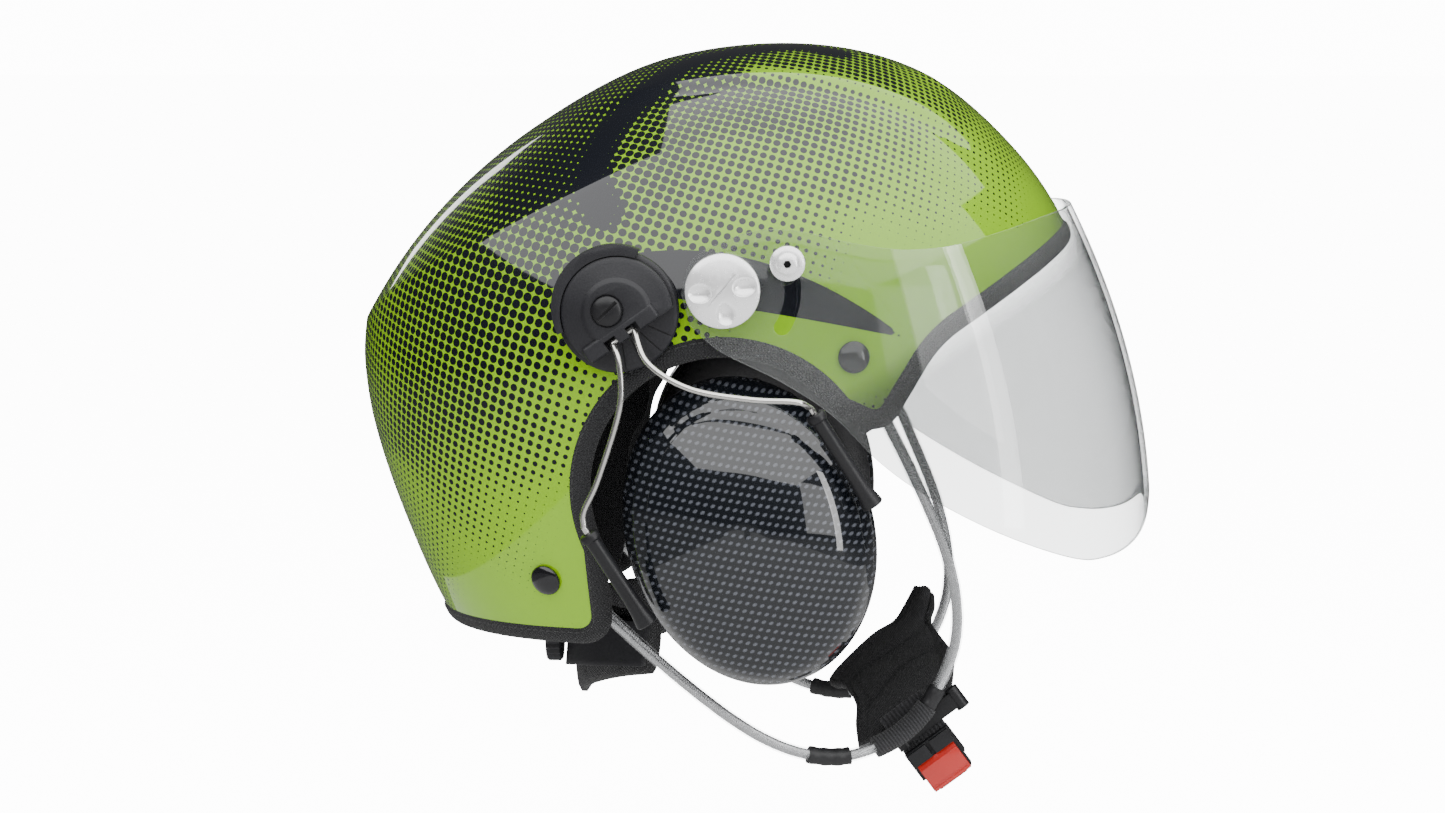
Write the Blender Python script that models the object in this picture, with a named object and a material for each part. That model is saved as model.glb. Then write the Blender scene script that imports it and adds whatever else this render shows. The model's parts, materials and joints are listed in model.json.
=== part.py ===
"""Open-face air-sport helmet with a tilting visor, ear muffs on wire yokes and a cable chin harness.

+X is forward, +Y is the wearer's left and +Z is up. The origin lies at the middle of the crown
pad's flat underside, where the helmet rests on a head. Places in this file are measured from the
point midway between the two visor pivots, and HEAD_REST is the origin seen from there. Lengths are
in millimetres, and MM turns them to metres when a mesh is made. Distances called "out" are
measured from the middle plane towards a side: SIDES mirrors them.
"""
import math

import bmesh
import bpy
import numpy as np
from mathutils import Matrix, Vector

MM = 0.001
GAP = 0.3  # clearance between neighbouring pieces
FACET_GAP = 1.0  # clearance between two curved pieces, which covers the sag of their facets
SIDES = {"right": -1, "left": 1}
HEAD_REST = Vector((4, 0, 46))

# Shell: a closed form about a centre, seen from the side as PROFILE and rounded off sideways
SHELL_CENTRE = (-8, -30)
SHELL_HALF_WIDTH = 116
SHELL_WALL = 3.5
ROUNDNESS = 2.3
SHELL_GRID, LINER_GRID = (46, 24), (34, 18)  # columns round the helmet, rows across it
PROFILE = [
    (142, -15), (131, 19), (106, 53.5), (66, 79.5), (18, 87.3), (-37, 77.5), (-84, 51), (-120, 14),
    (-138.5, -28), (-139, -62), (-127, -104), (-112, -137), (-80, -175), (-20, -200), (50, -195),
    (115, -155), (145, -85),
]
RIDGE_START, RIDGE_LENGTH, RIDGE_RISE, RIDGE_HEIGHT = (-138.5, -24), 125, 76, 9

# Openings, seen from the side
EAR_CENTRE, EAR_RADIUS = (0, -75), 54
BRIM_OUTSIDE, BROW_CORNER, CHEEK_TIP = (205, 64), (77, -18.5), (58, -50)
REAR_CORNER, REAR_OUTSIDE = (-46, -132.5), (-150, -134)
FAR_BELOW = -320
TRIM_RADIUS = 2.5

# Liner and pads
LINER_THICKNESS = 24
LINER_EAR_RADIUS = 79
PAD_GAP = SHELL_WALL + LINER_THICKNESS + FACET_GAP + GAP
CROWN_PAD_RADIUS, SIDE_PAD_THICKNESS, REAR_PAD_THICKNESS = 40, 8, 9

# Visor
VISOR_WALL = 2.2
VISOR_ROUNDNESS = 2.45
VISOR_GAP = 4.2  # from the shell's side at the pivot to the visor
VISOR_REACH, VISOR_LEAN, VISOR_CURVE = 145.7, -0.4, -0.00196
VISOR_TRAVEL = math.radians(55)
SLOT_RADIUS, SLOT_WIDTH, GUIDE_ANGLE = 25.7, 6.0, math.radians(22.7)
VISOR_TOP_EDGE = [
    (-15.5, -1), (-11, 11.5), (2, 18.8), (14, 22), (28, 21.6), (46.5, 17.4), (65, 14.6), (84, 15.6),
    (103, 20), (119, 24.3), (134, 27),
]
VISOR_BOTTOM_EDGE = [
    (166, -81), (162, -95), (155, -102), (144, -105), (131, -103.5), (103, -92), (76.5, -77.5),
    (58, -64), (40, -46), (21, -33.5), (-1, -22.5), (-12, -13),
]
KNOB_RADIUS, KNOB_THICKNESS = 13.8, 6.5
PIVOT_BOLT_RADIUS, BUSH_RADIUS = 3.0, 4.2
WASHER_RADIUS, GUIDE_POST_RADIUS = 6.5, 2.4

# Ear muffs
MOUNT_CENTRE, MOUNT_RADIUS, MOUNT_THICKNESS = (-38.6, -7.9), 22.5, 5.0
MOUNT_SCREW, MOUNT_SCREW_RADIUS = (-42, -7), 2.5
ROTOR_RADIUS, ROTOR_THICKNESS = 20.5, 7.6
YOKE_ANGLE = math.radians(35)
YOKE_CENTRE, YOKE_SPREAD, YOKE_OUT = (-36.5, -16.2), 9.4, 125.0
WIRE_RADIUS = 1.15
SLEEVE_RADIUS, SLEEVE_BORE, SLEEVE_LENGTH, SLEEVE_INSERT = 3.0, 1.5, 41, 22
SLEEVE_DIRECTION = (0.53, -0.12, -0.84)  # forward, out, up
REAR_SLEEVE_TOP, FRONT_SLEEVE_TOP = (-49, 126.5, -90), (34.2, 129, -45.2)
CUP_CENTRE, CUP_LONG, CUP_SHORT, CUP_LEAN = (9.5, -91), 60, 47, math.radians(18)
CUP_RIM_OUT, CUP_DEPTH, CUP_WALL = 97, 39, 2.6

# Retention
CABLE_RADIUS = 2.5
CABLE_PATH = [
    (-58, 84, -108), (-46, 81, -126), (-10, 82, -157.5), (16.6, 78, -176), (39.5, 72, -183),
    (58.7, 66.5, -179.4), (74, 62.5, -168.4), (85.6, 62, -147), (88, 66, -126.6), (83, 74, -102),
    (71.5, 84, -74), (61, 94, -52), (54, 101, -38),
]
RIVETS = {"front": (47.4, -25.4), "rear": (-66.7, -110.7)}
RIVET_RADIUS, RIVET_SHANK = 6.0, 2.0
CHIN_CUP_THICKNESS = 5
CHIN_CUP_ROWS = [  # the two edges of the chin cup, from the left cable to the right one
    ((75, 58.5, -141), (83, 58.5, -138)), ((62, 46, -154), (84, 46, -148)),
    ((50, 28, -163), (87, 28, -153)), ((47, 8, -168), (90, 8, -157.5)),
    ((46, -15, -174), (86, -15, -163)), ((49, -38, -180), (82, -38, -170)),
    ((52, -50, -183.5), (79, -50, -174.5)),
]
BUCKLE_CENTRE = Vector((81.3, -57, -185.3))
BUCKLE_DOWN, BUCKLE_ACROSS = Vector((0.6, 0, -0.8)), Vector((0.8, 0, 0.6))
WEBBING_WIDTH, WEBBING_THICKNESS = 20, 1.8
NAPE_CENTRE_X, NAPE_RADIUS, NAPE_SPREAD = -4, 62, 62  # the last in degrees to each side
DIAL_RADIUS, DIAL_HEIGHT = 11, -147.5


# ---------------------------------------------------------------- curves

def periodic_spline(knots, values):
    """A smooth function of an angle that passes through values at knots and closes on itself."""
    knots, values = np.asarray(knots), np.asarray(values)
    count = len(knots)
    steps = np.diff(np.append(knots, knots[0] + 2 * math.pi))
    matrix, right = np.zeros((count, count)), np.zeros(count)
    for i in range(count):
        after = (i + 1) % count
        matrix[i, i - 1] += steps[i - 1]
        matrix[i, i] += 2 * (steps[i - 1] + steps[i])
        matrix[i, after] += steps[i]
        rise = (values[after] - values[i]) / steps[i]
        right[i] = 6 * (rise - (values[i] - values[i - 1]) / steps[i - 1])
    bend = np.linalg.solve(matrix, right)

    def value(angle):
        angle = (np.asarray(angle) - knots[0]) % (2 * math.pi) + knots[0]
        i = np.searchsorted(knots, angle, side="right") - 1
        after, step = (i + 1) % count, steps[i]
        a, b = (knots[i] + step - angle) / step, (angle - knots[i]) / step
        curved = (a**3 - a) * bend[i] + (b**3 - b) * bend[after]
        return a * values[i] + b * values[after] + curved * step**2 / 6

    return value


def smooth_path(points, steps):
    """Points of a curve through the given points, with steps to each span."""
    points = [Vector(p) for p in points]
    ends = [2 * points[0] - points[1]] + points + [2 * points[-1] - points[-2]]
    path = []
    for a, b, c, d in zip(ends, ends[1:], ends[2:], ends[3:]):
        for i in range(steps):
            t = i / steps
            path.append(
                0.5 * (2 * b + (c - a) * t + (2 * a - 5 * b + 4 * c - d) * t**2
                       + (3 * b - a - 3 * c + d) * t**3)
            )
    return path + [points[-1]]


def arc(centre, radius, start, end, steps):
    """Points on an arc, from start to end in degrees."""
    angles = [math.radians(start + (end - start) * i / steps) for i in range(steps + 1)]
    return [(centre[0] + radius * math.cos(a), centre[1] + radius * math.sin(a)) for a in angles]


def fillet(before, corner, after, radius, steps=5):
    """Points of a round corner between two straight edges."""
    before, corner, after = Vector(before), Vector(corner), Vector(after)
    u, v = (before - corner).normalized(), (after - corner).normalized()
    half = u.angle(v) / 2
    centre = corner + (u + v).normalized() * radius / math.sin(half)
    first = (corner + u * radius / math.tan(half) - centre).normalized()
    last = (corner + v * radius / math.tan(half) - centre).normalized()
    return [centre + first.slerp(last, i / steps) * radius for i in range(steps + 1)]


# ---------------------------------------------------------------- forms of the shell and visor

_angles = [math.atan2(z - SHELL_CENTRE[1], x - SHELL_CENTRE[0]) % (2 * math.pi) for x, z in PROFILE]
_reach = [math.hypot(x - SHELL_CENTRE[0], z - SHELL_CENTRE[1]) for x, z in PROFILE]
_order = np.argsort(_angles)
profile_radius = periodic_spline(np.array(_angles)[_order], np.array(_reach)[_order])


def shell_out(x, z, inset=0):
    """How far out the shell's smooth surface lies at a point seen from the side."""
    dx, dz = x - SHELL_CENTRE[0], z - SHELL_CENTRE[1]
    share = math.hypot(dx, dz) / float(profile_radius(math.atan2(dz, dx)) - inset)
    return (SHELL_HALF_WIDTH - inset) * max(0.0, 1 - share**ROUNDNESS) ** (1 / ROUNDNESS)


def shell_slope(x, z):
    """Outward normal of the shell's smooth surface, as forward, out, up."""
    step = 0.5
    forward = shell_out(x + step, z) - shell_out(x - step, z)
    up = shell_out(x, z + step) - shell_out(x, z - step)
    return Vector((-forward / (2 * step), 1, -up / (2 * step))).normalized()


def clear_outside(place, radius):
    """How far out a flat piece of a radius must sit to clear the shell's outside."""
    return max(shell_out(*point) for point in arc(place, radius, 0, 360, 12)) + GAP


def clear_inside(place, radius):
    """How far out a flat piece of a radius may reach under the shell's inside."""
    return min(shell_out(*point, SHELL_WALL) for point in arc(place, radius, 0, 360, 12)) - 3 * GAP


def ridge_height(x, z):
    """Height of the rear ridge, which starts at the tail and fades out along the side."""
    along = (x - RIDGE_START[0]) / RIDGE_LENGTH
    if along >= 1:
        return 0.0
    crest = RIDGE_START[1] + RIDGE_RISE * max(along, 0.0) ** 0.72
    fade = 24 if z > crest else 34
    return RIDGE_HEIGHT * (1 - max(along, 0.0)) * math.exp(-abs(z - crest) / fade)


def shell_points(inset, grid, ridged=False):
    """Rings of points from the right side's pole to the left side's."""
    columns, rows = grid
    rings = []
    for row in range(rows + 1):
        turn = math.pi * row / rows
        share = abs(math.sin(turn)) ** (2 / ROUNDNESS)
        out = abs(math.cos(turn)) ** (2 / ROUNDNESS) * math.copysign(1, -math.cos(turn))
        ring = []
        for column in range(columns if 0 < row < rows else 1):
            angle = 2 * math.pi * column / columns
            reach = (float(profile_radius(angle)) - inset) * share
            side = (SHELL_HALF_WIDTH - inset) * out
            point = Vector((reach * math.cos(angle), side, reach * math.sin(angle)))
            x, z = SHELL_CENTRE[0] + point.x, SHELL_CENTRE[1] + point.z
            if ridged:
                point += point.normalized() * ridge_height(x, z)
            ring.append(point + Vector((SHELL_CENTRE[0], 0, SHELL_CENTRE[1])))
        rings.append(ring)
    return rings


def opening_outline(grow=0):
    """Outline of what is cut from the shell: face opening, ear opening and all below the rim."""
    ear = arc(EAR_CENTRE, EAR_RADIUS, 36, 205, 26)
    brow = fillet(BRIM_OUTSIDE, BROW_CORNER, CHEEK_TIP, 45)
    cheek = fillet(BROW_CORNER, CHEEK_TIP, ear[0], 6.5)
    rear = fillet(ear[-1], REAR_CORNER, REAR_OUTSIDE, 8)
    line = [Vector(p) for p in [BRIM_OUTSIDE, *brow, *cheek, *ear, *rear, REAR_OUTSIDE]]
    moved = []
    for i, point in enumerate(line):
        along = (line[min(i + 1, len(line) - 1)] - line[max(i - 1, 0)]).normalized()
        moved.append(point + Vector((along.y, -along.x)) * grow)
    return moved


def liner_outline():
    """Outline of what is cut from the liner, which leaves the whole ear area free."""
    ear = arc(EAR_CENTRE, LINER_EAR_RADIUS, 43, 200, 18)
    return [Vector(p) for p in [(205, 74), (59, -19.5), *ear, (ear[-1][0], -126), (-150, -127)]]


def closed_below(line):
    """The outline run on below the helmet, so that it encloses all that is cut away."""
    return [*line, Vector((line[-1].x, FAR_BELOW)), Vector((line[0].x, FAR_BELOW))]


def visor_reach(z):
    return VISOR_REACH + VISOR_LEAN * z + VISOR_CURVE * z * z


# ---------------------------------------------------------------- meshes and objects

def colour_material(name, colour, roughness, metallic=0.0, alpha=1.0):
    material = bpy.data.materials.new(name)
    material.use_nodes = True
    shader = material.node_tree.nodes["Principled BSDF"]
    shader.inputs["Base Color"].default_value = (*colour, 1)
    shader.inputs["Roughness"].default_value = roughness
    shader.inputs["Metallic"].default_value = metallic
    shader.inputs["Alpha"].default_value = alpha
    return material


LOOKS = {
    "lime_shell": ((0.42, 0.62, 0.0), 0.12), "black_foam": ((0.02, 0.02, 0.02), 0.9),
    "black_fabric": ((0.015, 0.015, 0.015), 0.9), "black_plastic": ((0.02, 0.02, 0.022), 0.4),
    "dark_plastic": ((0.045, 0.045, 0.05), 0.55), "carbon": ((0.03, 0.035, 0.04), 0.15),
    "aluminium": ((0.8, 0.8, 0.8), 0.3, 1.0), "steel": ((0.65, 0.65, 0.65), 0.25, 1.0),
    "clear_visor": ((0.9, 0.92, 0.92), 0.05, 0.0, 0.3), "black_leather": ((0.02, 0.02, 0.02), 0.6),
    "cable_steel": ((0.6, 0.6, 0.6), 0.3, 0.8), "red_plastic": ((0.8, 0.03, 0.02), 0.35),
    "heat_shrink": ((0.03, 0.03, 0.03), 0.5),
}


def finish(name, bm, look, origin=(0, 0, 0), hidden=False):
    """Makes an object of a mesh given in millimetres, with its origin at the given place."""
    bmesh.ops.recalc_face_normals(bm, faces=bm.faces)
    bmesh.ops.translate(bm, verts=bm.verts, vec=-Vector(origin))
    bmesh.ops.scale(bm, verts=bm.verts, vec=(MM, MM, MM))
    mesh = bpy.data.meshes.new(name)
    bm.to_mesh(mesh)
    bm.free()
    part = bpy.data.objects.new(name, mesh)
    bpy.context.scene.collection.objects.link(part)
    part.location = (Vector(origin) - HEAD_REST) * MM
    if hidden:
        part.hide_render = True
        part.display_type = "WIRE"
        return part
    mesh.materials.append(colour_material(name, *LOOKS[look]))
    mesh.shade_smooth()
    mesh.set_sharp_from_angle(angle=math.radians(35))
    return part


def skin(rings, close_ends=True):
    """A surface over rings of points; a ring of one point is a tip."""
    bm = bmesh.new()
    rows = [[bm.verts.new(point) for point in ring] for ring in rings]
    for low, high in zip(rows, rows[1:]):
        count = max(len(low), len(high))
        for i in range(count):
            j = (i + 1) % count
            corners = [low[i % len(low)], low[j % len(low)], high[j % len(high)], high[i % len(high)]]
            bm.faces.new(dict.fromkeys(corners))
    if close_ends:
        for ring in (rows[0], rows[-1]):
            if len(ring) > 2:
                bm.faces.new(ring)
    return bm


def prism(outline, out_from, out_to):
    """A plate with an outline seen from the side, between two distances across the helmet."""
    return skin([[Vector((x, out, z)) for x, z in outline] for out in (out_from, out_to)])


def tube(path, radius, sides=8, closed=False, radii=None):
    """A round bar along a path, as a mesh; radii can give each point its own radius."""
    path = [Vector(p) for p in path]
    count = len(path)
    ahead = [path[(i + 1) % count] if closed or i + 1 < count else path[i] for i in range(count)]
    behind = [path[i - 1] if closed or i > 0 else path[i] for i in range(count)]
    across = None
    rings = []
    for i in range(count):
        along = (ahead[i] - behind[i]).normalized()
        if across is None:
            across = along.orthogonal()
        across = (across - along * across.dot(along)).normalized()
        other = along.cross(across)
        size = radii[i] if radii else radius
        turns = [2 * math.pi * k / sides for k in range(sides)]
        rings.append([path[i] + (across * math.cos(t) + other * math.sin(t)) * size for t in turns])
    if not closed:
        return skin(rings)
    first, last = rings[0], rings[-1]
    shift = min(range(sides), key=lambda k: (last[0] - first[k]).length)
    return skin(rings + [first[shift:] + first[:shift]], close_ends=False)


def weld(bm, distance=0.001):
    bmesh.ops.remove_doubles(bm, verts=bm.verts, dist=distance)
    return bm


def turned(profile, centre, side, sides=24):
    """A turned piece about an axis across the helmet; its profile lists (radius, out)."""
    rings = []
    for radius, out in profile:
        y = side * out
        if radius == 0:
            rings.append([Vector((centre[0], y, centre[1]))])
            continue
        turns = [2 * math.pi * k / sides for k in range(sides)]
        rings.append([
            Vector((centre[0] + radius * math.cos(t), y, centre[1] + radius * math.sin(t)))
            for t in turns
        ])
    return skin(rings)


def change(part, cutter, operation="DIFFERENCE"):
    """Cuts, joins or intersects a part with a guide that is left out of the model."""
    modifier = part.modifiers.new(cutter.name, "BOOLEAN")
    modifier.operation = operation
    modifier.object = cutter
    return part


def guide(name, bm):
    return finish("guide_" + name, bm, None, hidden=True)


# ---------------------------------------------------------------- shell, liner, trim, pads

def make_shell():
    shell = finish("outer_shell", skin(shell_points(0, SHELL_GRID, True)), "lime_shell")
    change(shell, guide("shell_inside", skin(shell_points(SHELL_WALL, SHELL_GRID, True))))
    opening = closed_below(opening_outline(TRIM_RADIUS + 0.8))
    change(shell, guide("shell_opening", prism(opening, -200, 200)))
    holes = {"pivot": ((0, 0), PIVOT_BOLT_RADIUS), "guide": (guide_place(), GUIDE_POST_RADIUS),
             "mount": (MOUNT_SCREW, MOUNT_SCREW_RADIUS)}
    for name, (place, radius) in holes.items():
        drill = turned([(radius + GAP, -150), (radius + GAP, 150)], place, 1, 12)
        change(shell, guide("hole_" + name, drill))


def make_liner():
    start = SHELL_WALL + FACET_GAP
    liner = finish("eps_liner", skin(shell_points(start, LINER_GRID)), "black_foam")
    change(liner, guide("liner_inside", skin(shell_points(start + LINER_THICKNESS, LINER_GRID))))
    opening = closed_below(liner_outline())
    change(liner, guide("liner_opening", prism(opening, -200, 200)))
    for name, place in {"pivot": (0, 0), "guide": guide_place(), "mount": MOUNT_SCREW}.items():
        drill = turned([(9, -150), (9, 150)], place, 1, 10)
        change(liner, guide("recess_" + name, drill))


def rim_path(count):
    """The rim's closed path at mid thickness of the shell, evenly spaced."""
    line = opening_outline()
    dense = []
    for a, b in zip(line, line[1:]):
        steps = max(2, int((b - a).length / 0.05))
        dense += [a.lerp(b, i / steps) for i in range(steps)]
    half = [(p.x, shell_out(p.x, p.y, SHELL_WALL / 2), p.y) for p in dense]
    half = [Vector(p) for p in half if p[1] > 0]
    half[0].y = half[-1].y = 0
    loop = half + [Vector((p.x, -p.y, p.z)) for p in reversed(half[1:-1])]
    lengths = np.cumsum([0] + [(b - a).length for a, b in zip(loop, loop[1:] + loop[:1])])
    places = np.searchsorted(lengths, np.arange(count) * lengths[-1] / count)
    return [loop[i % len(loop)] for i in places]


def make_trim():
    finish("edge_trim", weld(tube(rim_path(110), TRIM_RADIUS, 6, closed=True)), "black_fabric")


def lined_pad(name, thickness, outline, out_from, out_to):
    """A pad that follows the liner's inside, with an outline seen from the side."""
    pad = finish(name, skin(shell_points(PAD_GAP, LINER_GRID)), "black_fabric")
    change(pad, guide(name + "_inside", skin(shell_points(PAD_GAP + thickness, LINER_GRID))))
    return change(pad, guide(name + "_outline", prism(outline, out_from, out_to)), "INTERSECT")


def make_pads():
    crown = finish("crown_pad", skin(shell_points(PAD_GAP, LINER_GRID)), "black_fabric")
    block = turned([(CROWN_PAD_RADIUS, HEAD_REST.z), (CROWN_PAD_RADIUS, 120)], (0, 0), 1, 28)
    turn = Matrix.Translation((HEAD_REST.x, 0, 0)) @ Matrix.Rotation(math.radians(90), 4, "X")
    bmesh.ops.transform(block, matrix=turn, verts=block.verts)
    change(crown, guide("crown_outline", block), "INTERSECT")
    brow = [(84, 8), (95, 18), (82, 40), (68, 34)]
    lined_pad("brow_pad", SIDE_PAD_THICKNESS, brow, -58, 58)
    for name, side in SIDES.items():
        outline = [(-52, 12), (-20, 8), (30, 10), (48, 18), (40, 33), (0, 37), (-44, 33)]
        lined_pad(f"side_pad_{name}", SIDE_PAD_THICKNESS, outline, side * 30, side * 130)
    rear = [(-125, -66), (-100, -100), (-62, -66), (-62, -10), (-125, -10)]
    lined_pad("rear_pad", REAR_PAD_THICKNESS, rear, -52, 52)


def along_slope(bm, place, side):
    """Turns a piece made about the origin, out along +Y, to stand on the shell at a place."""
    slope = shell_slope(*place)
    out = shell_out(*place) + ridge_height(*place) / slope.y
    normal = Vector((slope.x, side * slope.y, slope.z))
    turn = Vector((0, 1, 0)).rotation_difference(normal).to_matrix().to_4x4()
    bm.transform(Matrix.Translation((place[0], side * out, place[1])) @ turn)
    return bm


def make_rivets():
    shell = bpy.data.objects["outer_shell"]
    foot = -SHELL_WALL - 3
    profile = [(0, foot), (RIVET_SHANK, foot), (RIVET_SHANK, 0.7), (RIVET_RADIUS, 0.7),
               (RIVET_RADIUS, 1.3), (RIVET_RADIUS * 0.8, 2.4), (0, 3.0)]
    drill = [(RIVET_SHANK + GAP, -12), (RIVET_SHANK + GAP, 12)]
    for end, place in RIVETS.items():
        for name, side in SIDES.items():
            rivet = along_slope(turned(profile, (0, 0), 1, 14), place, side)
            finish(f"{end}_rivet_{name}", rivet, "black_plastic")
            hole = along_slope(turned(drill, (0, 0), 1, 10), place, side)
            change(shell, guide(f"rivet_hole_{end}_{name}", hole))


# ---------------------------------------------------------------- visor and its fittings

def guide_place():
    return SLOT_RADIUS * math.cos(GUIDE_ANGLE), SLOT_RADIUS * math.sin(GUIDE_ANGLE)


def visor_half():
    """Distance of the visor's outer face from the middle plane at the pivot."""
    return shell_out(0, 0) + VISOR_GAP + VISOR_WALL


def visor_section(z, inset, columns):
    """Half plan of the visor at a height, from the right side round the front to the left."""
    reach, half = visor_reach(z) - inset, visor_half() - inset
    points = [Vector((-30, -half, z))]
    for column in range(columns + 1):
        turn = math.pi * (column / columns - 0.5)
        x = reach * max(math.cos(turn), 0) ** (2 / VISOR_ROUNDNESS)
        y = half * abs(math.sin(turn)) ** (2 / VISOR_ROUNDNESS) * math.copysign(1, math.sin(turn))
        points.append(Vector((x, y, z)))
    return points + [Vector((-30, half, z))]


def slot_outline():
    start = math.degrees(GUIDE_ANGLE - VISOR_TRAVEL)
    end = math.degrees(GUIDE_ANGLE)
    half = SLOT_WIDTH / 2
    low = (SLOT_RADIUS * math.cos(math.radians(start)), SLOT_RADIUS * math.sin(math.radians(start)))
    outside = arc((0, 0), SLOT_RADIUS + half, start, end, 8)
    inside = arc((0, 0), SLOT_RADIUS - half, end, start, 8)
    top_end = arc(guide_place(), half, end, end + 180, 6)
    low_end = arc(low, half, start + 180, start + 360, 6)
    return outside + top_end[1:-1] + inside + low_end[1:-1]


def make_visor():
    heights = [-125, -105, -85, -65, -45, -25, -5, 15, 32, 46]
    rings = []
    for z in heights:
        outer = visor_section(z, 0, 30)
        rings.append(outer + visor_section(z, VISOR_WALL, 30)[::-1])
    visor = finish("visor", skin(rings), "clear_visor")
    top = [p.to_2d() for p in smooth_path([(x, z, 0) for x, z in VISOR_TOP_EDGE], 2)]
    bottom = [p.to_2d() for p in smooth_path([(x, z, 0) for x, z in VISOR_BOTTOM_EDGE], 2)]
    outline = top + [Vector((190, 34)), Vector((190, -72))] + bottom
    change(visor, guide("visor_outline", prism(outline, -160, 160)), "INTERSECT")
    bore = turned([(BUSH_RADIUS + GAP, -150), (BUSH_RADIUS + GAP, 150)], (0, 0), 1, 16)
    change(visor, guide("visor_bore", bore))
    change(visor, guide("visor_slot", prism(slot_outline(), -150, 150)))


def make_visor_fittings():
    bush_face = clear_outside((0, 0), 8)
    outer = visor_half()
    for name, side in SIDES.items():
        bush = [(PIVOT_BOLT_RADIUS + GAP, bush_face), (8, bush_face),
                (8, outer - VISOR_WALL - GAP), (BUSH_RADIUS, outer - VISOR_WALL - GAP),
                (BUSH_RADIUS, outer + GAP), (PIVOT_BOLT_RADIUS + GAP, outer + GAP)]
        ring = turned(bush + bush[:1], (0, 0), side, 16)
        caps = [face for face in ring.faces if len(face.verts) == 16]
        bmesh.ops.delete(ring, geom=caps, context="FACES_ONLY")
        finish(f"pivot_bush_{name}", weld(ring), "black_plastic")
        inside = clear_inside((0, 0), 7)
        bolt = [(0, inside - 2), (7, inside - 2), (7, inside), (PIVOT_BOLT_RADIUS, inside),
                (PIVOT_BOLT_RADIUS, outer + 1.2), (0, outer + 1.2)]
        finish(f"pivot_bolt_{name}", turned(bolt, (0, 0), side, 16), "steel")
        knob = [(0, outer + 1.6), (4.5, outer + 1.6), (4.5, outer + 2 * GAP),
                (KNOB_RADIUS - 1, outer + 2 * GAP), (KNOB_RADIUS, outer + 1.8),
                (KNOB_RADIUS, outer + KNOB_THICKNESS - 1),
                (KNOB_RADIUS - 1.2, outer + KNOB_THICKNESS), (0, outer + KNOB_THICKNESS)]
        part = finish(f"visor_knob_{name}", turned(knob, (0, 0), side, 28), "aluminium")
        slot = bmesh.new()
        bmesh.ops.create_cube(slot, size=1)
        bmesh.ops.scale(slot, verts=slot.verts, vec=(15, 4, 1.4))
        bmesh.ops.rotate(slot, verts=slot.verts, matrix=Matrix.Rotation(math.radians(-45), 3, "Y"))
        bmesh.ops.translate(slot, verts=slot.verts, vec=(0, side * (outer + KNOB_THICKNESS + 0.8), 0))
        change(part, guide(f"knob_slot_{name}", slot))
        face = outer + 0.5
        washer = [(GUIDE_POST_RADIUS + GAP, face), (WASHER_RADIUS, face),
                  (WASHER_RADIUS, face + 1.4), (GUIDE_POST_RADIUS + GAP, face + 1.4)]
        ring = turned(washer + washer[:1], guide_place(), side, 20)
        caps = [one for one in ring.faces if len(one.verts) == 20]
        bmesh.ops.delete(ring, geom=caps, context="FACES_ONLY")
        finish(f"guide_washer_{name}", weld(ring), "aluminium")
        head = face + 1.4 + GAP
        post = clear_inside(guide_place(), 3) - 2
        screw = [(0, post), (GUIDE_POST_RADIUS, post), (GUIDE_POST_RADIUS, head), (4.2, head),
                 (4.2, head + 1.6), (3.4, head + 2.4), (1.4, head + 2.4), (1.4, head + 0.8),
                 (0, head + 0.8)]
        finish(f"guide_screw_{name}", turned(screw, guide_place(), side, 16), "aluminium")


# ---------------------------------------------------------------- ear muffs

def outward(point, side):
    """A place given as forward, out, up, on one side of the helmet."""
    return Vector((point[0], side * point[1], point[2]))


def yoke_axis():
    return Vector((math.cos(YOKE_ANGLE), 0, math.sin(YOKE_ANGLE)))


def make_muff_mount(name, side):
    low = SHELL_HALF_WIDTH + GAP
    high = low + MOUNT_THICKNESS
    bore = MOUNT_SCREW_RADIUS + GAP
    base = [(0, low), (MOUNT_RADIUS, low), (MOUNT_RADIUS, high - 1), (MOUNT_RADIUS - 1, high), (0, high)]
    part = finish(f"muff_mount_base_{name}", turned(base, MOUNT_CENTRE, side, 28), "dark_plastic")
    drill = turned([(bore, -160), (bore, 160)], MOUNT_SCREW, 1, 12)
    change(part, guide(f"mount_bore_{name}", drill))
    make_rotor(name, side, high + GAP)
    head = high + GAP + ROTOR_THICKNESS + GAP
    foot = clear_inside(MOUNT_SCREW, 3) - 2
    screw = [(0, foot), (MOUNT_SCREW_RADIUS, foot), (MOUNT_SCREW_RADIUS, head), (5.5, head),
             (5.5, head + 1), (4.3, head + 2), (0, head + 2)]
    finish(f"muff_mount_screw_{name}", turned(screw, MOUNT_SCREW, side, 16), "black_plastic")


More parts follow.
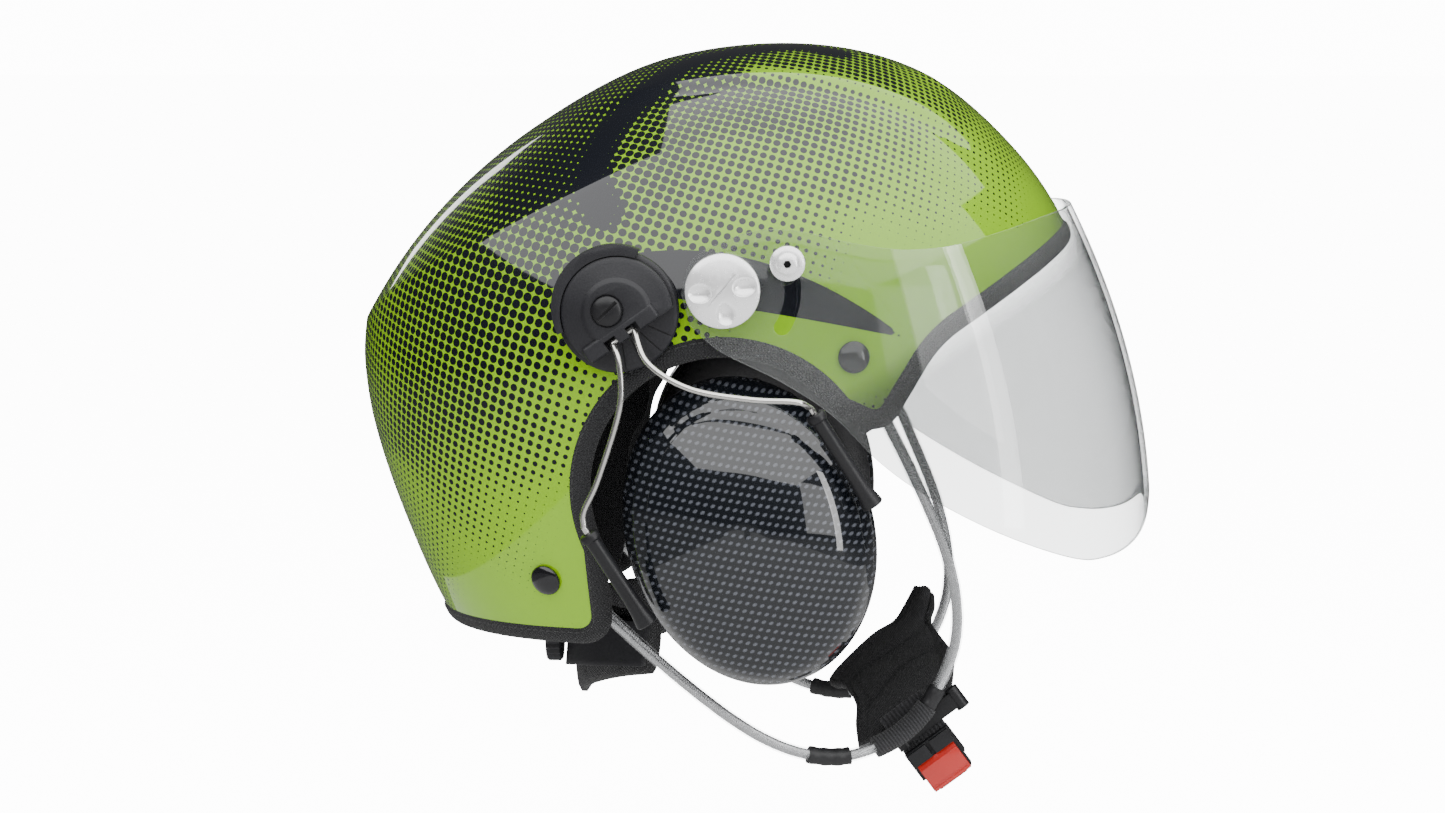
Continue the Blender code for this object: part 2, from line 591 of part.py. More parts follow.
def make_rotor(name, side, low):
    """The D-shaped housing whose straight edge carries the wire's hinge in a knuckle."""
    high = low + ROTOR_THICKNESS
    edge_angle = math.degrees(YOKE_ANGLE)
    outline = arc(MOUNT_CENTRE, ROTOR_RADIUS, edge_angle - 22, edge_angle + 202, 24)
    small = arc(MOUNT_CENTRE, ROTOR_RADIUS - 2.5, edge_angle - 22, edge_angle + 202, 24)
    rings = [[Vector((x, side * out, z)) for x, z in line]
             for line, out in ((outline, low), (outline, high - 2.5), (small, high))]
    rotor = finish(f"muff_rotor_{name}", skin(rings), "dark_plastic", (*MOUNT_SCREW[:1], 0, MOUNT_SCREW[1]))
    across, down = yoke_axis(), Vector((math.sin(YOKE_ANGLE), 0, -math.cos(YOKE_ANGLE)))
    middle = outward((YOKE_CENTRE[0], YOKE_OUT, YOKE_CENTRE[1]), side)
    below = middle + down * (20 + WIRE_RADIUS + 0.9)
    change(rotor, guide(f"rotor_edge_{name}", box_along((60, 60, 40), below, across, (0, 1, 0))))
    for word, shift in (("near", -1), ("far", 1)):
        place = middle + across * shift * YOKE_SPREAD / 2 + down * (10 - WIRE_RADIUS - GAP)
        notch = box_along((2 * WIRE_RADIUS + 1, 60, 20), place, across, (0, 1, 0))
        change(rotor, guide(f"rotor_notch_{word}_{name}", notch))
    pin = [middle - across * 20, middle + across * 20]
    change(rotor, guide(f"rotor_pin_{name}", tube(pin, WIRE_RADIUS + GAP, 10)))
    bore = MOUNT_SCREW_RADIUS + GAP
    drill = turned([(bore, -160), (bore, 160)], MOUNT_SCREW, 1, 12)
    change(rotor, guide(f"rotor_bore_{name}", drill))


def make_yoke(name, side):
    """One wire: out of the front sleeve, over the cup, through the knuckle and down to the rear."""
    across = yoke_axis()
    middle = outward((YOKE_CENTRE[0], YOKE_OUT, YOKE_CENTRE[1]), side)
    rear_exit, front_exit = middle - across * YOKE_SPREAD / 2, middle + across * YOKE_SPREAD / 2
    insert = outward(SLEEVE_DIRECTION, side).normalized() * SLEEVE_INSERT
    rear_top, front_top = outward(REAR_SLEEVE_TOP, side), outward(FRONT_SLEEVE_TOP, side)
    rear = [(-37.6, 127.5, -27), (-37.6, 128.5, -43), (-45.5, 127.5, -69), (-50.8, 127, -81)]
    front = [(-27, 130, -26), (-11.5, 134, -35), (10, 136, -38.6), (27, 134.5, -39.6)]
    lead = outward(SLEEVE_DIRECTION, side).normalized() * 3.5
    rear_leg = smooth_path([rear_exit, *[outward(p, side) for p in rear], rear_top - lead], 3)
    front_leg = smooth_path([front_exit, *[outward(p, side) for p in front], front_top - lead], 3)
    path = [rear_top + insert, *rear_leg[::-1], *front_leg, front_top + insert]
    finish(f"wire_yoke_{name}", tube(path, WIRE_RADIUS, 6), "steel", middle)


def make_sleeves(name, side):
    direction = outward(SLEEVE_DIRECTION, side).normalized()
    for end, top in (("rear", REAR_SLEEVE_TOP), ("front", FRONT_SLEEVE_TOP)):
        start = outward(top, side) - direction
        path = [start, start + direction * 3, start + direction * 3.5,
                start + direction * (SLEEVE_LENGTH - 6), start + direction * SLEEVE_LENGTH]
        radii = [SLEEVE_RADIUS + 0.8, SLEEVE_RADIUS + 0.8, SLEEVE_RADIUS, SLEEVE_RADIUS,
                 SLEEVE_RADIUS + 1.2]
        sleeve = finish(f"yoke_sleeve_{end}_{name}", tube(path, 0, 10, radii=radii), "black_plastic")
        bore = [start - direction * 2, start + direction * (SLEEVE_INSERT + 16)]
        change(sleeve, guide(f"sleeve_bore_{end}_{name}", tube(bore, SLEEVE_BORE + 0.1, 10)))


def cup_ring(share, out, side, count=28):
    """An oval ring of the ear cup, as a share of its full outline."""
    ring = []
    for k in range(count):
        turn = 2 * math.pi * k / count
        along = CUP_LONG * share * math.cos(turn)
        across = CUP_SHORT * share * math.sin(turn)
        x = CUP_CENTRE[0] - along * math.sin(CUP_LEAN) + across * math.cos(CUP_LEAN)
        z = CUP_CENTRE[1] + along * math.cos(CUP_LEAN) + across * math.sin(CUP_LEAN)
        ring.append(Vector((x, side * out, z)))
    return ring


def oval(name, side, profile, look, closed=False):
    """A piece of oval rings; its profile lists (share of the cup's outline, out)."""
    rings = []
    for share, out in profile:
        ring = cup_ring(share, out, side)
        rings.append(ring if share > 0 else [sum(ring, Vector()) / len(ring)])
    if closed:
        bm = weld(skin(rings + rings[:1], close_ends=False))
    else:
        bm = skin(rings)
    return finish(name, bm, look, tilt_centre(side))


def tilt_centre(side):
    half = outward(SLEEVE_DIRECTION, side).normalized() * SLEEVE_LENGTH / 2
    middle = (outward(REAR_SLEEVE_TOP, side) + outward(FRONT_SLEEVE_TOP, side)) / 2
    return middle + half


def make_cup(name, side):
    top = CUP_RIM_OUT + CUP_DEPTH
    rim = CUP_RIM_OUT
    outside = [(0.92, rim), (0.98, rim + 7), (0.98, rim + 13), (0.94, rim + 20), (0.85, rim + 28),
               (0.69, rim + 34), (0.42, rim + 37.6), (0, top)]
    inside = [(0, top - CUP_WALL), (0.4, rim + 34.6), (0.76, rim + 26), (0.9, rim + 13), (0.87, rim)]
    oval(f"muff_cup_{name}", side, inside + outside, "carbon")
    plate = [(0.5, rim - 3.6), (0.93, rim - 3.6), (0.93, rim - GAP), (0.5, rim - GAP)]
    oval(f"muff_plate_{name}", side, plate, "black_plastic", closed=True)
    foam = [(0, rim + 3), (0.8, rim + 3), (0.84, rim + 12), (0.68, rim + 24), (0, rim + 30)]
    oval(f"muff_foam_{name}", side, foam, "black_foam")
    low, high = rim - 18, rim - 3.6 - GAP
    cushion = [(0.56, high), (0.88, high), (0.94, high - 5), (0.88, low + 2), (0.76, low),
               (0.62, low + 2), (0.55, high - 5)]
    oval(f"ear_cushion_{name}", side, cushion, "black_leather", closed=True)


def make_muffs():
    for name, side in SIDES.items():
        make_muff_mount(name, side)
        make_yoke(name, side)
        make_sleeves(name, side)
        make_cup(name, side)


# ---------------------------------------------------------------- retention

def make_cables():
    for name, side in SIDES.items():
        path = smooth_path([outward(p, side) for p in CABLE_PATH], 3)
        finish(f"steel_cable_{name}", tube(path, CABLE_RADIUS, 8), "cable_steel")
        wrap = path[11:14]
        collar = finish(f"cable_collar_{name}", tube(wrap, CABLE_RADIUS + 1.2, 8), "heat_shrink")
        change(collar, guide(f"collar_bore_{name}", tube(path[9:17], CABLE_RADIUS + GAP, 8)))
    path = smooth_path([outward(p, -1) for p in CABLE_PATH], 3)
    loop = finish("chin_loop", tube(path[15:19], CABLE_RADIUS + 1.8, 10), "black_fabric")
    change(loop, guide("chin_loop_bore", tube(path[13:21], CABLE_RADIUS + GAP, 10)))


def band(rows, thickness):
    """A strap: each row gives its two edges, and the strap is thickened along its normal."""
    rows = [(Vector(a), Vector(b)) for a, b in rows]
    rings = []
    for i, (a, b) in enumerate(rows):
        near, far = rows[max(i - 1, 0)], rows[min(i + 1, len(rows) - 1)]
        normal = (b - a).cross(sum(far, Vector()) - sum(near, Vector())).normalized()
        step = normal * thickness / 2
        rings.append([a + step, b + step, b - step, a - step])
    return skin(rings)


def make_chin_cup():
    finish("chin_cup", band(CHIN_CUP_ROWS, CHIN_CUP_THICKNESS), "black_fabric")


def box_along(size, centre, forward, sideways):
    """A block of a size, its first edge along forward and its second along sideways."""
    forward, sideways = Vector(forward).normalized(), Vector(sideways).normalized()
    frame = Matrix((forward, sideways, forward.cross(sideways))).transposed().to_4x4()
    frame.translation = Vector(centre)
    block = bmesh.new()
    bmesh.ops.create_cube(block, size=1)
    bmesh.ops.scale(block, verts=block.verts, vec=size)
    block.transform(frame)
    return block


def buckle_place(down, across, out):
    return BUCKLE_CENTRE + BUCKLE_DOWN * down + BUCKLE_ACROSS * across + Vector((0, -out, 0))


def make_buckle():
    strap = box_along((24, WEBBING_WIDTH, WEBBING_THICKNESS), buckle_place(-20, 0, -1), BUCKLE_DOWN,
                      BUCKLE_ACROSS)
    finish("chin_webbing", strap, "black_fabric")
    adjuster = finish("strap_adjuster",
                      box_along((8, 24, 4.2), buckle_place(-19.5, 4, -1), BUCKLE_DOWN, BUCKLE_ACROSS),
                      "black_plastic")
    slit = box_along((20, WEBBING_WIDTH + 0.8, WEBBING_THICKNESS + 2 * GAP), buckle_place(-19.5, 0, -1),
                     BUCKLE_DOWN, BUCKLE_ACROSS)
    change(adjuster, guide("adjuster_slit", slit))
    body = finish("buckle_body", box_along((18, 20, 8), buckle_place(1.6, 0, 0), BUCKLE_DOWN,
                                           BUCKLE_ACROSS), "black_plastic")
    channel = box_along((30, 14.6, 2.6), buckle_place(10, 0, -1), BUCKLE_DOWN, BUCKLE_ACROSS)
    change(body, guide("buckle_channel", channel))
    recess = box_along((12.6, 17, 2.6), buckle_place(6.2, 0, 3.2), BUCKLE_DOWN, BUCKLE_ACROSS)
    change(body, guide("buckle_recess", recess))
    tongue = box_along((20, 14, 2), buckle_place(10.5, 0, -1), BUCKLE_DOWN, BUCKLE_ACROSS)
    finish("buckle_tongue", tongue, "black_plastic")
    release = box_along((11.5, 16.4, 3.6), buckle_place(6.4, 0, 4.1), BUCKLE_DOWN, BUCKLE_ACROSS)
    finish("buckle_release", release, "red_plastic", buckle_place(0.8, 0, 3))


def nape_row(turn, radius, low, high):
    x, y = NAPE_CENTRE_X - radius * math.cos(turn), radius * math.sin(turn)
    return (x, y, low), (x + 2, y, high)


def make_nape():
    turns = [math.radians(NAPE_SPREAD * (i / 6 - 1)) for i in range(13)]
    rows = [nape_row(t, NAPE_RADIUS, -160 + 10 * abs(math.sin(t)), -134) for t in turns]
    cradle = finish("nape_cradle", band(rows, 3), "dark_plastic")
    stem = box_along((30, 24, 3), (-74.5, 0, -126), (-0.62, 0, 0.78), (0, 1, 0))
    change(cradle, guide("nape_stem", stem), "UNION")
    rows = [nape_row(t, NAPE_RADIUS - 6.2, -171 + 18 * abs(math.sin(t)), -131) for t in turns]
    finish("nape_pad", band(rows, 8), "black_fabric")
    out = NAPE_CENTRE_X - NAPE_RADIUS
    profile = [(0, 2.4), (DIAL_RADIUS - 1, 2.4), (DIAL_RADIUS, 4), (DIAL_RADIUS, 8),
               (DIAL_RADIUS - 1.5, 9.2), (0, 9.2)]
    dial = turned(profile, (0, 0), 1, 24)
    place = Vector((out, 0, DIAL_HEIGHT))
    dial.transform(Matrix.Translation(place) @ Matrix.Rotation(math.radians(90), 4, "Z"))
    finish("size_dial", dial, "dark_plastic", place)


def clear_scene():
    for item in list(bpy.data.objects):
        bpy.data.objects.remove(item)


def main():
    clear_scene()
    make_shell()
    make_liner()
    make_trim()
    make_pads()
    make_rivets()
    make_visor()
    make_visor_fittings()
    make_muffs()
    make_cables()
    make_chin_cup()
    make_buckle()
    make_nape()


main()
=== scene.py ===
"""Looks of the open-face air-sport helmet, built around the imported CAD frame.

Lengths are in millimetres, and MM turns them to metres when a mesh is made. Places are measured
from the point midway between the visor pivots as (forward, out, up), and HEAD_REST is the frame's
origin seen from there. A side of -1 or 1 puts a place on the wearer's right or left. The shell's
and the visor's forms follow the same rules as the CAD part.
"""
import json
import math

import bmesh
import bpy
import numpy as np
from mathutils import Matrix, Vector


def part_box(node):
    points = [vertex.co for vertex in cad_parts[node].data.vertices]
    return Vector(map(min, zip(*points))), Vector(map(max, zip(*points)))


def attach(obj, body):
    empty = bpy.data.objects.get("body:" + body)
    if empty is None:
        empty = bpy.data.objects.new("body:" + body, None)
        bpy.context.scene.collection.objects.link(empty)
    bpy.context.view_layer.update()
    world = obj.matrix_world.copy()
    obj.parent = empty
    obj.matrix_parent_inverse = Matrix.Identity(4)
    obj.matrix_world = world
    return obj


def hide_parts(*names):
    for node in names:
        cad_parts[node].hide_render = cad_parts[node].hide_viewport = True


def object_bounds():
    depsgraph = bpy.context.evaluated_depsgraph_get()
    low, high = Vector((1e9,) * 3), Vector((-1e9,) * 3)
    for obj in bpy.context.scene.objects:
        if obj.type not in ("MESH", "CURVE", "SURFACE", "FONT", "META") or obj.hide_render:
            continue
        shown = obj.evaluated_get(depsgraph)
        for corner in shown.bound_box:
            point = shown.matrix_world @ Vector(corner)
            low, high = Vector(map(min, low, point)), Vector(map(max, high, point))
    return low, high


MM = 0.001
SIDES = {"right": -1, "left": 1}
HEAD_REST = Vector((4, 0, 46))

# The shell: a rounded egg over a closed side profile, later cut open below and in front
SHELL_CENTRE = (-8, -30)
SHELL_HALF_WIDTH = 116
SHELL_WALL = 3.5
ROUNDNESS = 2.3
PROFILE = [
    (142, -15), (131, 19), (106, 53.5), (66, 79.5), (18, 87.3), (-37, 77.5), (-84, 51), (-120, 14),
    (-138.5, -28), (-139, -62), (-127, -104), (-112, -137), (-80, -175), (-20, -200), (50, -195),
    (115, -155), (145, -85),
]
# A ridge runs forward and up from the tail, and a panel is moulded on the crown
RIDGE_START, RIDGE_LENGTH, RIDGE_RISE, RIDGE_HEIGHT = (-138.5, -24), 125, 76, 9
SHELL_GRID = (300, 150)
CROWN_STEP = 2.2

# The rim, from the face opening past the cheek and round the ear to the rear
EAR_CENTRE, EAR_RADIUS = (0, -75), 54
BRIM_OUTSIDE, BROW_CORNER, CHEEK_TIP = (205, 64), (77, -18.5), (58, -50)
REAR_CORNER, REAR_OUTSIDE = (-46, -132.5), (-150, -134)
FAR_BELOW = -320

# The visor's front line leans and curves with height; its slot is an arc about the pivots
VISOR_WALL, VISOR_GAP, VISOR_ROUNDNESS = 2.2, 4.2, 2.45
VISOR_REACH, VISOR_LEAN, VISOR_CURVE = 145.7, -0.4, -0.00196
VISOR_TRAVEL, GUIDE_ANGLE = math.radians(55), math.radians(22.7)
SLOT_RADIUS, SLOT_WIDTH = 25.7, 6.0
# The visor is smoked ahead of a line along the brow: a direction across it, and its place in metres
VISOR_SMOKE, VISOR_SMOKE_START = (0.54, -0.84), 0.091
VISOR_TOP_EDGE = [
    (-15.5, -1), (-11, 11.5), (2, 18.8), (14, 22), (28, 21.6), (46.5, 17.4), (65, 14.6), (84, 15.6),
    (103, 20), (119, 24.3), (134, 27),
]
VISOR_BOTTOM_EDGE = [
    (166, -81), (162, -95), (155, -102), (144, -105), (131, -103.5), (103, -92), (76.5, -77.5),
    (58, -64), (40, -46), (21, -33.5), (-1, -22.5), (-12, -13),
]

# How black the halftone print is at places on the shell, seen from the side
TONES = [
    (-135, -15, 0.45), (-130, -38, 0.5), (-120, 5, 0.55), (-105, 0, 0.7), (-115, -28, 0.65),
    (-95, 20, 0.75), (-90, -10, 0.7), (-70, 12, 0.75), (-75, 32, 0.9), (-60, 35, 0.95),
    (-80, 50, 0.8), (-60, 60, 0.85), (-35, 30, 0.6), (-30, 45, 0.7), (-20, 58, 0.75),
    (-10, 72, 0.85), (10, 68, 0.75), (35, 61, 0.6), (0, 47, 0.5), (12, 36, 0.4), (0, 25, 0.4),
    (-20, 12, 0.45), (45, 45, 0.35), (60, 52, 0.3), (65, 38, 0.15), (25, 18, 0.2), (48, 8, 0),
    (62, 20, 0), (84, 38, 0.05), (95, 10, 0), (46, 79, 0.65), (80, 68, 0.45), (104, 48, 0.25),
    (98, 43, 0.1), (116, 34, 0), (-92, -43, 0.6), (-113, -53, 0.6), (-70, -26, 0.6),
    (-68, -42, 0.4), (-56, -42, 0.1), (-105, -70, 0.4), (-84, -62, 0.3), (-115, -93, 0.2),
    (-100, -85, 0.25), (-85, -85, 0.05), (-98, -105, 0), (-65, -90, 0), (20, -5, 0), (-30, -20, 0.3),
]
TONE_SPREAD, BAND_SPREAD, CREST_HIGHLIGHT_SPREAD = 10, 12, 4.5
# A solid black flame over the crown, and a streak along the front crest kept clear of dots: a painted
# highlight
BLACK_BAND = [(-44, 26), (-49, 38), (-44, 56), (-30, 70), (-12, 81), (20, 86), (40, 84)]
CREST_HIGHLIGHT_STREAK = [(10, 77), (28, 76), (44, 73), (58, 69), (72, 63), (81, 59)]
# A plain tapered stripe along the side: how far it reaches fore and aft, and its half width
SWEEP_REACH, SWEEP_HALF = 66, 9.5
DOT_PITCH, DOT_TURN = 3.8, math.radians(17)
BINDING_HEIGHT, BINDING_SPREAD = 2.9, 1.5

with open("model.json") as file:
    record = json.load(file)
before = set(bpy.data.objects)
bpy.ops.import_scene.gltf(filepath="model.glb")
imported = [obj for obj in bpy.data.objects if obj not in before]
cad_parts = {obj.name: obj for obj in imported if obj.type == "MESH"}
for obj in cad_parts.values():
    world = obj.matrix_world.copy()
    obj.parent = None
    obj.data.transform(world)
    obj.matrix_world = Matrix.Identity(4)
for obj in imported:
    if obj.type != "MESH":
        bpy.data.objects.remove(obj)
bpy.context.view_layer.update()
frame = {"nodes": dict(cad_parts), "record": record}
BODIES = frame["record"]["behaviour"]["bodies"]


def cad_box(node):
    """Low and high corners of a CAD node, in millimetres from the pivots."""
    return tuple(corner / MM + HEAD_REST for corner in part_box(node))


def cad_reach(node):
    """How near to the middle plane a side's CAD node starts, and how far out it ends."""
    low, high = cad_box(node)
    return sorted((abs(low.y), abs(high.y)))


# ---------------------------------------------------------------- curves

def periodic_spline(knots, values):
    """A smooth function of an angle that passes through values at knots and closes on itself."""
    knots, values = np.asarray(knots), np.asarray(values)
    count = len(knots)
    steps = np.diff(np.append(knots, knots[0] + 2 * math.pi))
    matrix, right = np.zeros((count, count)), np.zeros(count)
    for i in range(count):
        after = (i + 1) % count
        matrix[i, i - 1] += steps[i - 1]
        matrix[i, i] += 2 * (steps[i - 1] + steps[i])
        matrix[i, after] += steps[i]
        rise = (values[after] - values[i]) / steps[i]
        right[i] = 6 * (rise - (values[i] - values[i - 1]) / steps[i - 1])
    bend = np.linalg.solve(matrix, right)

    def value(angle):
        angle = (np.asarray(angle) - knots[0]) % (2 * math.pi) + knots[0]
        i = np.searchsorted(knots, angle, side="right") - 1
        after, step = (i + 1) % count, steps[i]
        a, b = (knots[i] + step - angle) / step, (angle - knots[i]) / step
        curved = (a**3 - a) * bend[i] + (b**3 - b) * bend[after]
        return a * values[i] + b * values[after] + curved * step**2 / 6

    return value


def smooth_path(points, steps):
    """Points of a curve through the given points, with steps to each span."""
    points = [Vector(p) for p in points]
    ends = [2 * points[0] - points[1]] + points + [2 * points[-1] - points[-2]]
    path = []
    for a, b, c, d in zip(ends, ends[1:], ends[2:], ends[3:]):
        for i in range(steps):
            t = i / steps
            path.append(
                0.5 * (2 * b + (c - a) * t + (2 * a - 5 * b + 4 * c - d) * t**2
                       + (3 * b - a - 3 * c + d) * t**3)
            )
    return path + [points[-1]]


def smooth_outline(points, steps):
    """A smooth curve through places seen from the side."""
    return [p.to_2d() for p in smooth_path([(x, z, 0) for x, z in points], steps)]


def full_turn(count):
    """Angles spaced evenly round a circle."""
    return [2 * math.pi * k / count for k in range(count)]


def arc(centre, radius, start, end, steps):
    """Points on an arc, from start to end in degrees."""
    angles = [math.radians(start + (end - start) * i / steps) for i in range(steps + 1)]
    return [(centre[0] + radius * math.cos(a), centre[1] + radius * math.sin(a)) for a in angles]


def fillet(before, corner, after, radius):
    """Points of a round corner between two straight edges."""
    steps = 16
    before, corner, after = Vector(before), Vector(corner), Vector(after)
    u, v = (before - corner).normalized(), (after - corner).normalized()
    half = u.angle(v) / 2
    centre = corner + (u + v).normalized() * radius / math.sin(half)
    first = (corner + u * radius / math.tan(half) - centre).normalized()
    last = (corner + v * radius / math.tan(half) - centre).normalized()
    return [centre + first.slerp(last, i / steps) * radius for i in range(steps + 1)]


def evenly(path, count, closed=False):
    """Points spaced evenly along a path."""
    path = [Vector(p) for p in path]
    ends = path + path[:1] if closed else path
    lengths = np.cumsum([0] + [(b - a).length for a, b in zip(ends, ends[1:])])
    wanted = np.arange(count) * lengths[-1] / (count if closed else count - 1)
    coordinates = np.array([tuple(p) for p in ends])
    return [Vector([np.interp(w, lengths, coordinates[:, k]) for k in range(len(path[0]))])
            for w in wanted]


# ---------------------------------------------------------------- form of the shell

profile_angles = [math.atan2(z - SHELL_CENTRE[1], x - SHELL_CENTRE[0]) % (2 * math.pi)
                  for x, z in PROFILE]
profile_reach = [math.hypot(x - SHELL_CENTRE[0], z - SHELL_CENTRE[1]) for x, z in PROFILE]
order = np.argsort(profile_angles)
profile_radius = periodic_spline(np.array(profile_angles)[order], np.array(profile_reach)[order])


def shell_share(x, z, inset=0):
    """How far from the shell's middle to its profile a point seen from the side lies."""
    dx, dz = x - SHELL_CENTRE[0], z - SHELL_CENTRE[1]
    return np.hypot(dx, dz) / (profile_radius(np.arctan2(dz, dx)) - inset)


def shell_out(x, z, inset=0):
    """How far out the shell's smooth surface lies at a point seen from the side."""
    share = np.minimum(shell_share(x, z, inset), 1)
    return (SHELL_HALF_WIDTH - inset) * (1 - share**ROUNDNESS) ** (1 / ROUNDNESS)


def shell_normal(point):
    """Outward normal of the smooth shell at a point."""

    def level(x, y, z):
        return shell_share(x, z) ** ROUNDNESS + (abs(y) / SHELL_HALF_WIDTH) ** ROUNDNESS

    slopes = []
    for axis in range(3):
        step = Vector((0, 0, 0))
        step[axis] = 0.4
        slopes.append(float(level(*(point + step)) - level(*(point - step))))
    return Vector(slopes).normalized()


def ridge_height(x, z):
    """Height of the rear ridge, which starts at the tail and fades out along the side."""
    along = np.clip((x - RIDGE_START[0]) / RIDGE_LENGTH, 0, 1)
    crest = RIDGE_START[1] + RIDGE_RISE * along**0.72
    fade = np.where(z > crest, 24, 34)
    return RIDGE_HEIGHT * (1 - along) * np.exp(-np.abs(z - crest) / fade)


def shell_points(inset, grid, outside):
    """Rings of points from the right side's pole to the left side's."""
    columns, rows = grid
    angles = 2 * math.pi * np.arange(columns) / columns
    radii = profile_radius(angles) - inset
    rings = []
    for row in range(rows + 1):
        turn = math.pi * row / rows
        share = abs(math.sin(turn)) ** (2 / ROUNDNESS)
        out = abs(math.cos(turn)) ** (2 / ROUNDNESS) * math.copysign(1, -math.cos(turn))
        points = np.stack([radii * share * np.cos(angles),
                           np.full(columns, (SHELL_HALF_WIDTH - inset) * out),
                           radii * share * np.sin(angles)], axis=1)
        x, z = points[:, 0] + SHELL_CENTRE[0], points[:, 2] + SHELL_CENTRE[1]
        lift = ridge_height(x, z)
        if outside:
            lift = lift + moulded_detail(x, points[:, 1], z)
        length = np.linalg.norm(points, axis=1)
        points = points * (1 + lift / length)[:, None]
        points += np.array([SHELL_CENTRE[0], 0, SHELL_CENTRE[1]])
        rings.append([Vector(p) for p in (points if 0 < row < rows else points[:1])])
    return rings


def fade(value, start, end):
    """Rises smoothly from 0 at start to 1 at end."""
    share = np.clip((value - start) / (end - start), 0, 1)
    return share * share * (3 - 2 * share)


def moulded_detail(x, y, z):
    """Height of the raised crown panel, whose edges run along both sides, and of its front ribs."""
    side = np.abs(y)
    edge = 58 - 0.0012 * (x - 25) ** 2
    panel = CROWN_STEP * (1 - fade(side, edge - 1, edge + 7)) * fade(x, -75, -20) * (1 - fade(x, 70, 112))
    height = np.where(z > 0, panel, 0)
    for across, start, end, rise in ((24, 42, 64, 2.2), (22, 62, 86, 2.0)):
        along = np.clip((x - start) / (end - start), 0, 1)
        shape = np.where(z > 40, np.sin(math.pi * along) * along, 0)
        height += rise * shape * np.exp(-((side - across) / 6) ** 2)
    return height


def opening_outline(grow=0):
    """Outline of what is cut from the shell: face opening, ear opening and all below the rim."""
    ear = arc(EAR_CENTRE, EAR_RADIUS, 36, 205, 90)
    brow = fillet(BRIM_OUTSIDE, BROW_CORNER, CHEEK_TIP, 45)
    cheek = fillet(BROW_CORNER, CHEEK_TIP, ear[0], 6.5)
    rear = fillet(ear[-1], REAR_CORNER, REAR_OUTSIDE, 8)
    line = [Vector(p) for p in [BRIM_OUTSIDE, *brow, *cheek, *ear, *rear, REAR_OUTSIDE]]
    moved = []
    for i, point in enumerate(line):
        along = (line[min(i + 1, len(line) - 1)] - line[max(i - 1, 0)]).normalized()
        moved.append(point + Vector((along.y, -along.x)) * grow)
    return moved


def closed_below(line):
    """The outline run on below the helmet, so that it encloses all that is cut away."""
    return [*line, Vector((line[-1].x, FAR_BELOW)), Vector((line[0].x, FAR_BELOW))]


def rim_path(count):
    """The rim's closed path at mid thickness of the shell, evenly spaced."""
    line = opening_outline()
    dense = []
    for a, b in zip(line, line[1:]):
        steps = max(2, int((b - a).length / 0.05))
        dense += [a.lerp(b, i / steps) for i in range(steps)]
    places = np.array([tuple(p) for p in dense])
    out = shell_out(places[:, 0], places[:, 1], SHELL_WALL / 2)
    half = [Vector((x, y, z)) for (x, z), y in zip(places, out) if y > 0]
    half[0].y = half[-1].y = 0
    loop = half + [Vector((p.x, -p.y, p.z)) for p in reversed(half[1:-1])]
    return evenly(loop, count, closed=True)


# ---------------------------------------------------------------- meshes and pieces

def skin(rings, close_ends=True):
    """A surface over rings of points; a ring of one point is a tip."""
    bm = bmesh.new()
    rows = [[bm.verts.new(point) for point in ring] for ring in rings]
    for low, high in zip(rows, rows[1:]):
        count = max(len(low), len(high))
        for i in range(count):
            j = (i + 1) % count
            corners = [low[i % len(low)], low[j % len(low)], high[j % len(high)], high[i % len(high)]]
            bm.faces.new(dict.fromkeys(corners))
    if close_ends:
        for ring in (rows[0], rows[-1]):
            if len(ring) > 2:
                bm.faces.new(ring)
    return bm


def prism(outline, out_from, out_to):
    """A plate with an outline seen from the side, between two distances across the helmet."""
    return skin([[Vector((x, out, z)) for x, z in outline] for out in (out_from, out_to)])


def tube(path, radius, sides=16, closed=False, radii=None, squash=None, normals=None):
    """A bar along a path. radii gives each point its radius; squash and normals make it oval."""
    path = [Vector(p) for p in path]
    count = len(path)
    ahead = [path[(i + 1) % count] if closed or i + 1 < count else path[i] for i in range(count)]
    behind = [path[i - 1] if closed or i > 0 else path[i] for i in range(count)]
    across, rings = None, []
    for i in range(count):
        along = (ahead[i] - behind[i]).normalized()
        if normals:
            across = normals[i]
        elif across is None:
            across = along.orthogonal()
        across = (across - along * across.dot(along)).normalized()
        other = along.cross(across)
        size = radii[i] if radii else radius
        wide = size * (squash or 1)
        rings.append([path[i] + across * math.cos(t) * size + other * math.sin(t) * wide
                      for t in full_turn(sides)])
    if not closed:
        return skin(rings)
    first, last = rings[0], rings[-1]
    shift = min(range(sides), key=lambda k: (last[0] - first[k]).length)
    bm = skin(rings + [first[shift:] + first[:shift]], close_ends=False)
    bmesh.ops.remove_doubles(bm, verts=bm.verts, dist=0.001)
    return bm


def turned(profile, centre=(0, 0), side=1, sides=64):
    """A turned piece about an axis across the helmet; its profile lists (radius, out)."""
    rings = []
    for radius, out in profile:
        if radius == 0:
            rings.append([Vector((centre[0], side * out, centre[1]))])
            continue
        rings.append([Vector((centre[0] + radius * math.cos(t), side * out,
                              centre[1] + radius * math.sin(t))) for t in full_turn(sides)])
    return skin(rings)


def turned_ring(profile, centre, side):
    """A turned piece with a hole, whose profile closes on itself."""
    sides = 64
    bm = turned(profile + profile[:1], centre, side, sides)
    caps = [face for face in bm.faces if len(face.verts) == sides]
    bmesh.ops.delete(bm, geom=caps, context="FACES_ONLY")
    bmesh.ops.remove_doubles(bm, verts=bm.verts, dist=0.001)
    return bm


